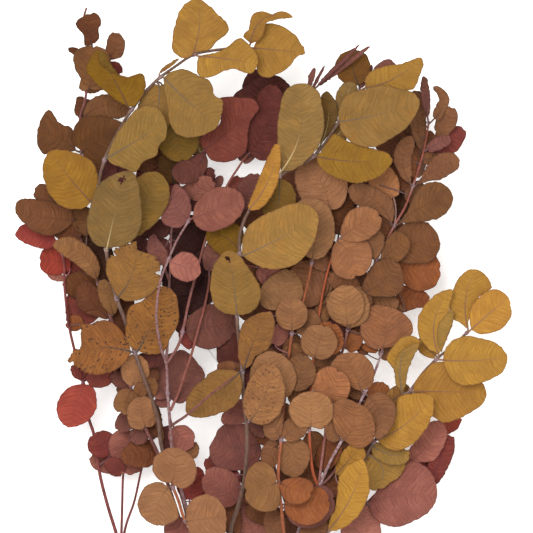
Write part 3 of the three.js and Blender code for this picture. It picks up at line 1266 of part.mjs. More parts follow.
function shortfall(contact) {
  const top = contact.upper ? heightAt(contact.upper, contact.over) : contact.level;
  const bottom = contact.lower ? heightAt(contact.lower, contact.under) : contact.level;
  return (contact.air ?? 0) - (top - bottom);
}

function relieve(contact, miss) {
  const parts = [];
  if (contact.upper) {
    parts.push([contact.upper, contact.over, 1]);
  }
  if (contact.lower) {
    parts.push([contact.lower, contact.under, -1]);
  }
  let total = 0;
  for (const [, ways] of parts) {
    ways.forEach((way, k) => { total += EASE[k] * way * way; });
  }
  for (const [item, ways, sign] of parts) {
    ways.forEach((way, k) => { item.now[k] += (sign * EASE[k] * way * miss) / total; });
  }
}

function keepWithinLimits(item) {
  const reach = [item.shape.length, item.shape.halfWidth, item.shape.length, 1];
  item.now.forEach((value, k) => {
    const limit = Math.max(LIMITS[k] * reach[k], Math.abs(item.wanted[k]));
    item.now[k] = Math.min(Math.max(value, -limit), limit);
  });
}

function settle() {
  const contacts = [...leafContacts(), ...stemContacts(), ...floorContacts()];
  for (let round = 0; round < ROUNDS; round += 1) {
    const pull = round < ROUNDS * SHARE_OF_ROUNDS_PULLED ? PULL : 0;
    for (const item of leaves) {
      item.now.forEach((value, k) => { item.now[k] += pull * (item.wanted[k] - value); });
    }
    for (const contact of contacts) {
      const miss = shortfall(contact);
      if (miss > 0) {
        relieve(contact, miss);
      }
    }
    leaves.forEach(keepWithinLimits);
  }
}

settle();

// ---------------------------------------------------------------- solids

function solidOf(points, faces) {
  return new wasm.Manifold(new wasm.Mesh({
    numProp: 3,
    vertProperties: new Float32Array(points.flat()),
    triVerts: new Uint32Array(faces.flat()),
  }));
}

function solidFromGeometry(geometry) {
  const bare = geometry.index ? geometry.toNonIndexed() : geometry.clone();
  bare.deleteAttribute("normal");
  bare.deleteAttribute("uv");
  const merged = mergeVertices(bare, SAME_POINT);
  return new wasm.Manifold(new wasm.Mesh({
    numProp: 3,
    vertProperties: new Float32Array(merged.attributes.position.array),
    triVerts: new Uint32Array(merged.index.array),
  }));
}

// Where a leaf's stalk leaves the stem or the collar, and which way is right along it.
function stalkOf(item, seat, fromAxis) {
  const base = new THREE.Vector3(item.base[0], item.base[1], heightAt(item, [0, 0, 0, 1]));
  const start = seat.point.clone();
  const toBase = base.clone().sub(start).setZ(0);
  const aside = toBase.clone().addScaledVector(seat.direction, -toBase.dot(seat.direction));
  if (!fromAxis) {
    const reach = collarInside(seat) + COLLAR_WALL * COLLAR_BITE;
    if (aside.length() < seat.radius + COLLAR_WALL) {
      start.z += item.side * reach;
    } else {
      start.addScaledVector(aside.normalize(), reach);
    }
  }
  const ahead = new THREE.Vector3(item.tip[0] - item.base[0], item.tip[1] - item.base[1], 0);
  ahead.normalize();
  const along = base.clone().sub(start).setZ(0);
  if (along.length() < SMALLEST_DETAIL) {
    along.copy(ahead);
  }
  along.normalize();
  const bend = along.clone().add(ahead);
  if (bend.length() < SMALLEST_DETAIL) {
    bend.set(-ahead.y, ahead.x, 0);
  }
  bend.normalize();
  const rightOf = (way) => new THREE.Vector3(way.y, -way.x, 0);
  return { start, base, rightAtStart: rightOf(along), rightAtBase: rightOf(bend) };
}

// Four corners round a point of the stalk: right, top, left, bottom.
function corners(point, right, across, upward) {
  return [point.clone().addScaledVector(right, across), point.clone().setZ(point.z + upward),
    point.clone().addScaledVector(right, -across), point.clone().setZ(point.z - upward)];
}

// A leaf is a thin lens: a sharp rim round one raised and one lowered middle point. Its
// stalk grows out of the rim at the leaf's base.
function leafSolid(item, seat, fromAxis) {
  const { rim, rimLocal, heart, heartLocal, halfWidth } = item.shape;
  const stalk = stalkOf(item, seat, fromAxis);
  const across = Math.min(PETIOLE_RADIUS, PETIOLE_IN_NARROW_LEAF * halfWidth);
  const [baseRight, baseTop, baseLeft, baseBottom] = corners(stalk.base, stalk.rightAtBase,
    across, PETIOLE_HALF_DEPTH);
  const edge = [baseRight];
  rim.slice(1).forEach(([x, y], k) => {
    const [u, v] = rimLocal[k + 1];
    edge.push(new THREE.Vector3(x, y, heightAt(item, [u, v, 0, 1])));
  });
  edge.push(baseLeft);
  const centre = new THREE.Vector3(heart[0], heart[1],
    heightAt(item, [heartLocal[0], heartLocal[1], -1, 1]));
  const half = BLADE_THICKNESS / 2;
  const end = corners(stalk.start, stalk.rightAtStart, STALK_START, STALK_START);
  const last = edge.length - 1;
  const points = [...edge, centre.clone().setZ(centre.z + half), centre.clone().setZ(centre.z - half),
    baseTop, baseBottom, ...end];
  const [top, bottom, bT, bB, sR, sT, sL, sB] = [1, 2, 3, 4, 5, 6, 7, 8].map((k) => last + k);
  const [bR, bL] = [0, last];
  const faces = [];
  for (let k = 0; k < last; k += 1) {
    faces.push([top, k, k + 1], [bottom, k + 1, k]);
  }
  faces.push([top, bL, bT], [top, bT, bR], [bottom, bB, bL], [bottom, bR, bB]);
  faces.push([bT, bL, sL], [bT, sL, sT], [bR, bT, sT], [bR, sT, sR]);
  faces.push([bL, bB, sB], [bL, sB, sL], [bB, bR, sR], [bB, sR, sB]);
  faces.push([sR, sT, sL], [sR, sL, sB]);
  return solidOf(points.map((point) => point.toArray()), faces);
}

// The room a leaf needs: the leaf and its stalk, larger all round by the gap.
function leafRoom(item, seat, fromAxis) {
  const { rim, rimLocal, heart, heartLocal } = item.shape;
  const count = rim.length;
  const edge = rim.map(([x, y], k) => {
    const grow = 1 + (GAP * ROOM_AT_RIM) / Math.hypot(x - heart[0], y - heart[1]);
    const z = heightAt(item, [rimLocal[k][0], rimLocal[k][1], 0, 1]);
    return [heart[0] + (x - heart[0]) * grow, heart[1] + (y - heart[1]) * grow, z];
  });
  const middle = heightAt(item, [heartLocal[0], heartLocal[1], -1, 1]);
  const half = BLADE_THICKNESS / 2 + GAP;
  const points = [...edge.map(([x, y, z]) => [x, y, z - GAP]),
    ...edge.map(([x, y, z]) => [x, y, z + GAP]),
    [heart[0], heart[1], middle - half], [heart[0], heart[1], middle + half]];
  const faces = [];
  for (let k = 0; k < count; k += 1) {
    const next = (k + 1) % count;
    faces.push([2 * count, next, k], [2 * count + 1, count + k, count + next]);
    faces.push([k, next, count + next], [k, count + next, count + k]);
  }
  const { start, base } = stalkOf(item, seat, fromAxis);
  const stalkRoom = rodSolid([start, base], [STALK_ROOM, STALK_ROOM], STALK_SIDES);
  return solidOf(points, faces).add(stalkRoom);
}

// A rod of a few sides through a list of points, with a radius at each.
function rodSolid(points, radii, sides) {
  const rings = points.map((point, k) => {
    const before = points[Math.max(k - 1, 0)];
    const after = points[Math.min(k + 1, points.length - 1)];
    const ahead = after.clone().sub(before).normalize();
    const aside = new THREE.Vector3(ahead.y, -ahead.x, 0);
    if (aside.length() < SMALLEST_DETAIL) {
      aside.set(1, 0, 0);
    }
    aside.normalize();
    const upward = aside.clone().cross(ahead);
    return Array.from({ length: sides }, (unused, side) => {
      const turn = Math.PI / 2 - (2 * Math.PI * side) / sides;
      return point.clone().addScaledVector(aside, Math.cos(turn) * radii[k])
        .addScaledVector(upward, Math.sin(turn) * radii[k]);
    });
  });
  const vertices = rings.flat().map((vertex) => [vertex.x, vertex.y, vertex.z]);
  const faces = [];
  for (let k = 0; k + 1 < points.length; k += 1) {
    for (let side = 0; side < sides; side += 1) {
      const a = k * sides + side;
      const b = k * sides + ((side + 1) % sides);
      faces.push([a, b, b + sides], [a, b + sides, a + sides]);
    }
  }
  const last = (points.length - 1) * sides;
  for (let side = 1; side + 1 < sides; side += 1) {
    faces.push([0, side + 1, side], [last, last + side, last + side + 1]);
  }
  return solidOf(vertices, faces);
}

function collarInside(seat) {
  return (seat.radius + GAP) * COLLAR_LOOSENESS;
}

// The collar is a short square sleeve round the stem, or the room that it needs.
function collarSolid(seat, room) {
  const inner = collarInside(seat) - (room ? COLLAR_ROOM_INSIDE : 0);
  const outer = collarInside(seat) + COLLAR_WALL + (room ? GAP : 0);
  const length = COLLAR_LENGTH + (room ? 2 * GAP : 0);
  const square = [[-1, -1], [1, -1], [1, 1], [-1, 1]];
  const around = (half) => square.map(([x, y]) => new THREE.Vector2(x * half, y * half));
  const shape = new THREE.Shape(around(outer));
  shape.holes.push(new THREE.Path(around(inner).reverse()));
  const geometry = new THREE.ExtrudeGeometry(shape, { depth: length, bevelEnabled: false, steps: 1 });
  geometry.translate(0, 0, -length / 2);
  const up = new THREE.Vector3(0, 0, 1);
  geometry.applyMatrix4(new THREE.Matrix4().lookAt(seat.direction, new THREE.Vector3(), up));
  geometry.translate(seat.point.x, seat.point.y, seat.point.z);
  return solidFromGeometry(geometry);
}

// A stem's forks and its smallest leaves are grown as one with it.
function stemSolid(item, room) {
  const margin = room ? GAP : 0;
  const parts = item.routes.map((unused, index) => {
    const route = wholeRoute(item, index);
    const radii = routeShares(route).map((share) => radiusAlong(item, index, share) + margin);
    return rodSolid(route, radii, STEM_SIDES);
  });
  for (const whorl of whorls.filter((each) => each.branch === item && each.group.name === "")) {
    parts.push(...whorl.members.map((member) => (
      room ? leafRoom(member, whorl.seat, true) : leafSolid(member, whorl.seat, true))));
  }
  return parts.reduce((sum, part) => sum.add(part));
}

function pairSolid({ seat, members }, room) {
  const blades = members.map((member) => (
    room ? leafRoom(member, seat, false) : leafSolid(member, seat, false)));
  return blades.reduce((sum, blade) => sum.add(blade), collarSolid(seat, room));
}

// The band's outline goes round the outer stems of the bundle.
function bandOutline(offset) {
  const corners = BUNDLE.map(([across, up]) => new THREE.Vector2(across, up));
  const count = corners.length;
  const normal = (k) => {
    const edge = corners[(k + 1) % count].clone().sub(corners[k]);
    return Math.atan2(-edge.x, edge.y);
  };
  const points = [];
  corners.forEach((corner, k) => {
    const from = normal((k + count - 1) % count);
    const to = normal(k);
    const turn = (to - from + 4 * Math.PI) % (2 * Math.PI);
    for (let step = 0; step <= BAND_CORNER_STEPS; step += 1) {
      const angle = from + (turn * step) / BAND_CORNER_STEPS;
      points.push(new THREE.Vector2(corner.x + Math.cos(angle) * offset,
        corner.y + Math.sin(angle) * offset));
    }
  });
  return points;
}

function bandSolid() {
  const shape = new THREE.Shape(bandOutline(BAND_CORNER + BAND_THICKNESS));
  shape.holes.push(new THREE.Path(bandOutline(BAND_CORNER).reverse()));
  const geometry = new THREE.ExtrudeGeometry(shape, { depth: BAND_WIDTH, bevelEnabled: false, steps: 1 });
  geometry.rotateX(Math.PI / 2);
  geometry.translate(BAND_X, BAND_Y + BAND_WIDTH / 2, 0);
  return solidFromGeometry(geometry);
}

// ---------------------------------------------------------------- pieces

function meshOf(name, solid, finish) {
  const { vertProperties, triVerts } = solid.getMesh();
  const geometry = new THREE.BufferGeometry();
  geometry.setAttribute("position", new THREE.BufferAttribute(new Float32Array(vertProperties), 3));
  geometry.setIndex(new THREE.BufferAttribute(new Uint32Array(triVerts), 1));
  geometry.computeVertexNormals();
  const mesh = new THREE.Mesh(geometry, new THREE.MeshStandardMaterial(FINISHES[finish]));
  mesh.name = name;
  return mesh;
}

function largest(solid) {
  const bodies = solid.decompose();
  return bodies.reduce((best, body) => (body.volume() > best.volume() ? body : best));
}

function near(a, b) {
  return [0, 1, 2].every((k) => a.min[k] < b.max[k] + NEARBY && b.min[k] < a.max[k] + NEARBY);
}

// Where two pieces would still touch, the later one gives way and keeps the gap.
const pieces = [
  { name: "rubber_band", solid: bandSolid(), finish: "band", room: null },
  ...BRANCHES.map((item) => ({
    name: `${item.name}_stem`,
    solid: stemSolid(item, false),
    finish: item.bark,
    room: () => stemSolid(item, true),
  })),
  ...whorls.filter((whorl) => whorl.group.name !== "").map((whorl) => ({
    name: `${whorl.branch.name}_${whorl.group.name}_leaves`,
    solid: pairSolid(whorl, false),
    finish: whorl.members[0].finish,
    room: () => pairSolid(whorl, true),
  })),
];

pieces.forEach((piece, index) => {
  for (const other of pieces.slice(0, index)) {
    if (near(piece.solid.boundingBox(), other.solid.boundingBox())) {
      other.bulk ??= other.room ? other.room() : other.solid;
      if (piece.solid.intersect(other.bulk).volume() > NO_OVERLAP) {
        piece.solid = largest(piece.solid.subtract(other.bulk));
      }
    }
  }
});

for (const piece of pieces) {
  piece.solid = largest(piece.solid.simplify(SMALLEST_DETAIL));
}

const bunch = new THREE.Group();
pieces.forEach((piece) => bunch.add(meshOf(piece.name, piece.solid, piece.finish)));

// The origin is on the surface, under the middle of the bunch.
const extent = new THREE.Box3().setFromObject(bunch, true);
const middle = extent.getCenter(new THREE.Vector3());
bunch.position.set(-middle.x, -middle.y, -extent.min.z);

export default bunch;
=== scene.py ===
"""Dried eucalyptus: the looks of the bunch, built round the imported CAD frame.

Lengths are in millimetres in the tables and in the metres that Blender uses in the meshes.
"""

import math
import re

import bpy
import numpy as np
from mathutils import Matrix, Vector


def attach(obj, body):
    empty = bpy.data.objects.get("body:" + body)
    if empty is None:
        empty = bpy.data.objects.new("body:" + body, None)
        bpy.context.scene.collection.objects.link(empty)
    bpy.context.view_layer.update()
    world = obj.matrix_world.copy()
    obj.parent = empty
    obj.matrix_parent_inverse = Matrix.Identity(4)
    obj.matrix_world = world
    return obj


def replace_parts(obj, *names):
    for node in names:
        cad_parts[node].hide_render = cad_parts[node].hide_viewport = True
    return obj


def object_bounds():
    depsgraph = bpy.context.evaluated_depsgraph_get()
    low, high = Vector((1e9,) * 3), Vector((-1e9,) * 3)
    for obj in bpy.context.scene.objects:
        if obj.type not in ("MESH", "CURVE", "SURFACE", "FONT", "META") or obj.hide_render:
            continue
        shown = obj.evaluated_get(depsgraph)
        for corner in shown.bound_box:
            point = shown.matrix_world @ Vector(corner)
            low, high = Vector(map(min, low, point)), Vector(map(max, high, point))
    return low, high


MM = 0.001
FULL_TURN = 2 * math.pi
TINY = 1e-6
UPRIGHT = 0.05  # a direction that has less than this of the level in it

# The far ends of the table's drawing, which place it in the frame
LEFT_END, TOP_END = -189, 400

# Leaves
BLADE, RIM = 0.42, 0.16  # thickness in the middle and at the rim
RIM_WIDTH = 3  # over which the blade thins to its rim
STATIONS = 5  # rim points on a side given by its width
RIM_SPANS, STEM_SPANS = 8, 10  # steps of a smooth line between the points it goes through
ROW_GAP, LEAST_ROWS, MOST_ROWS = 1.5, 12, 34  # of vertices from base to tip
GNAWED_ROWS = 40  # more, where the rim is eaten
CELL_GAP, LEAST_CELLS, MOST_CELLS = 2.0, 4, 9  # from the midrib to the rim
CROWDING = 1.35  # draws those cells together near the midrib
BOWL = 0.35  # how round the middle of a cupped leaf is
WAVES, WAVE, WAVE_SHARE = 3, 0.45, 0.012  # of the rim: how high, and the most of the leaf's length
NICK = 0.22  # how uneven the rim is as seen from above
VEIN_GAP, VEIN_DEPTH = 3.8, 0.6  # between side veins, and how far they darken the blade
STALK, STALK_LEAST, STALK_GROWTH = 0.75, 0.3, 0.014  # radius: most, least, and for each mm of leaf
STALK_STEP, STALK_SIDES = 1.5, 7
STALK_BOW, STALK_REACH = 0.6, 0.45  # how much of a stalk's bend follows its leaf, and from where
RIB_START, RIB_TAPER = 0.72, 0.8  # the midrib's share of the stalk's radius, and how it thins
RIB_END = 0.14  # its radius at the tip
RIB_SHARE = 0.93  # of the blade's length, which it runs along
RIB_STRAY = 0.3  # of the blade's length, by which its points may be out of step
RING_HALF, RING_SWELL, RING_SINK = 2.6, 0.75, 0.12  # the swelling where a pair clasps its stem
RING_STEPS, RING_SIDES = 7, 12
LEAF_EDGE, STEM_EDGE = 35, 50  # degrees between faces at which an edge shows
SEED_SHIFT = 1000  # makes every leaf's coordinates positive, to seed its own chances

# A corner of the CAD is a leaf's own when it is this near, as seen from above, and corners this
# close are at one height
CORNER_NEAR, ONE_HEIGHT = 0.06, 0.05
USUAL_CUP, MOST_CUP = 0.02, 0.16  # of the leaf's length: when it can't be read, and at most

# What a leaf's finish reads where there is no blade: how far along, and from the rim
ON_STALK, ON_RING, NO_RIM = -1.0, -2.0, 9.0

# Stems
STEM_STEP = 2.5
STEM_SIDES = 12
FORK_THINNING = 0.8
WARTS_PER_CM2 = 5
WART = 0.22
SWELLING, SWELLING_REACH = 0.2, 2.6  # of the stem's radius, round each seat
BLOOM, BLOOM_MORE, BLOOM_REACH = 0.25, 0.4, 5  # wax round each seat, and more where a way is waxy
# Ways whose bark differs from their stem's: (branch, way) -> orange tone and least bloom at the
# foot, and the same at the tip
WAYS = {
    ("brown", 0): (0.0, 1.0, 0.0, 0.75), ("brown", 1): (0.7, 0.0, 0.7, 0.0),
    ("brown", 2): (0.3, 0.3, 0.3, 0.0), ("burgundy", 0): (0.0, 0.8, 0.0, 0.3),
    ("burgundy", 1): (0.0, 0.3, 0.0, 0.1), ("burgundy", 2): (0.1, 0.2, 0.3, 0.0),
    ("burgundy", 3): (0.2, 0.1, 0.2, 0.0),
}
USUAL_WAY = (0.0, 0.1, 0.0, 0.0)

# The lower stems and the band
BAND_X, BAND_Y, BAND_STRAIGHT = -20, -165, 14
CUT_Y, CUT_SPREAD, CUT_STAGGER = -235, 1.6, 1.2
BUNDLE = [[-7.5, 3.7], [7.5, 3.7], [2.5, 12.5], [-7.5, 12.5], [-10, 8.1]]
BAND_GAP, BAND_WIDTH, BAND_THICK, BAND_TURNS, BAND_PITCH = 2.5, 1.9, 1.1, 4, 2.0
BAND_ROUNDING, CORNER_STEPS, TURN_STEPS = 0.25, 8, 120
CUT_PROUD, CUT_SIDES = 0.06, 16
PITH, WOOD = (0.28, 0.42), (0.93, 1.0)  # share of the stem's radius, and what the finish reads

# How a branch's rows are written. A way is the points of one line of its stem, from the foot. A
# pair of leaves has a name and its place on the stem, and the small leaves that grow as one with
# the stem have only their place. A leaf is its finish, base and tip | left side | right side |
# height, then its widest place and its heart where they aren't in the middle. A side is half the
# leaf's width, or its outline's points from base to tip. A row goes on over lines that start with
# a space.


def numbers(text):
    """The points and plain numbers of a field."""
    words = [[float(part) for part in word.split(",")] for word in text.split()]
    return [word if len(word) > 1 else word[0] for word in words]


def leaf(row):
    start, *sides, last = row.split("|")
    finish, ends = start.split(None, 1)
    base, tip = numbers(ends)
    left, right = [side if isinstance(side[0], list) else side[0] for side in map(numbers, sides)]
    height, *more = numbers(last)
    item = dict(finish=finish, base=base, tip=tip, left=left, right=right, height=height)
    item.update(peak=0.5, heart=None)
    for value in more:
        item["heart" if isinstance(value, list) else "peak"] = value
    return item


def branch(name, bark, radii, slot, rows):
    """A branch: its radii at foot and tip, its place in the bundle, its ways and its leaves."""
    ways, pairs = [], []
    for row in re.split(r"\n(?=\w)", rows.strip()):
        kind, rest = row.split(None, 1)
        if kind == "way":
            ways.append(numbers(rest))
        elif kind in ("pair", "at"):
            *label, at = rest.split()
            pairs.append(dict(name="".join(label), at=numbers(at)[0], leaves=[]))
        else:
            pairs[-1]["leaves"].append(leaf(row))
    return dict(name=name, bark=bark, radii=radii, slot=slot, ways=ways, pairs=pairs)


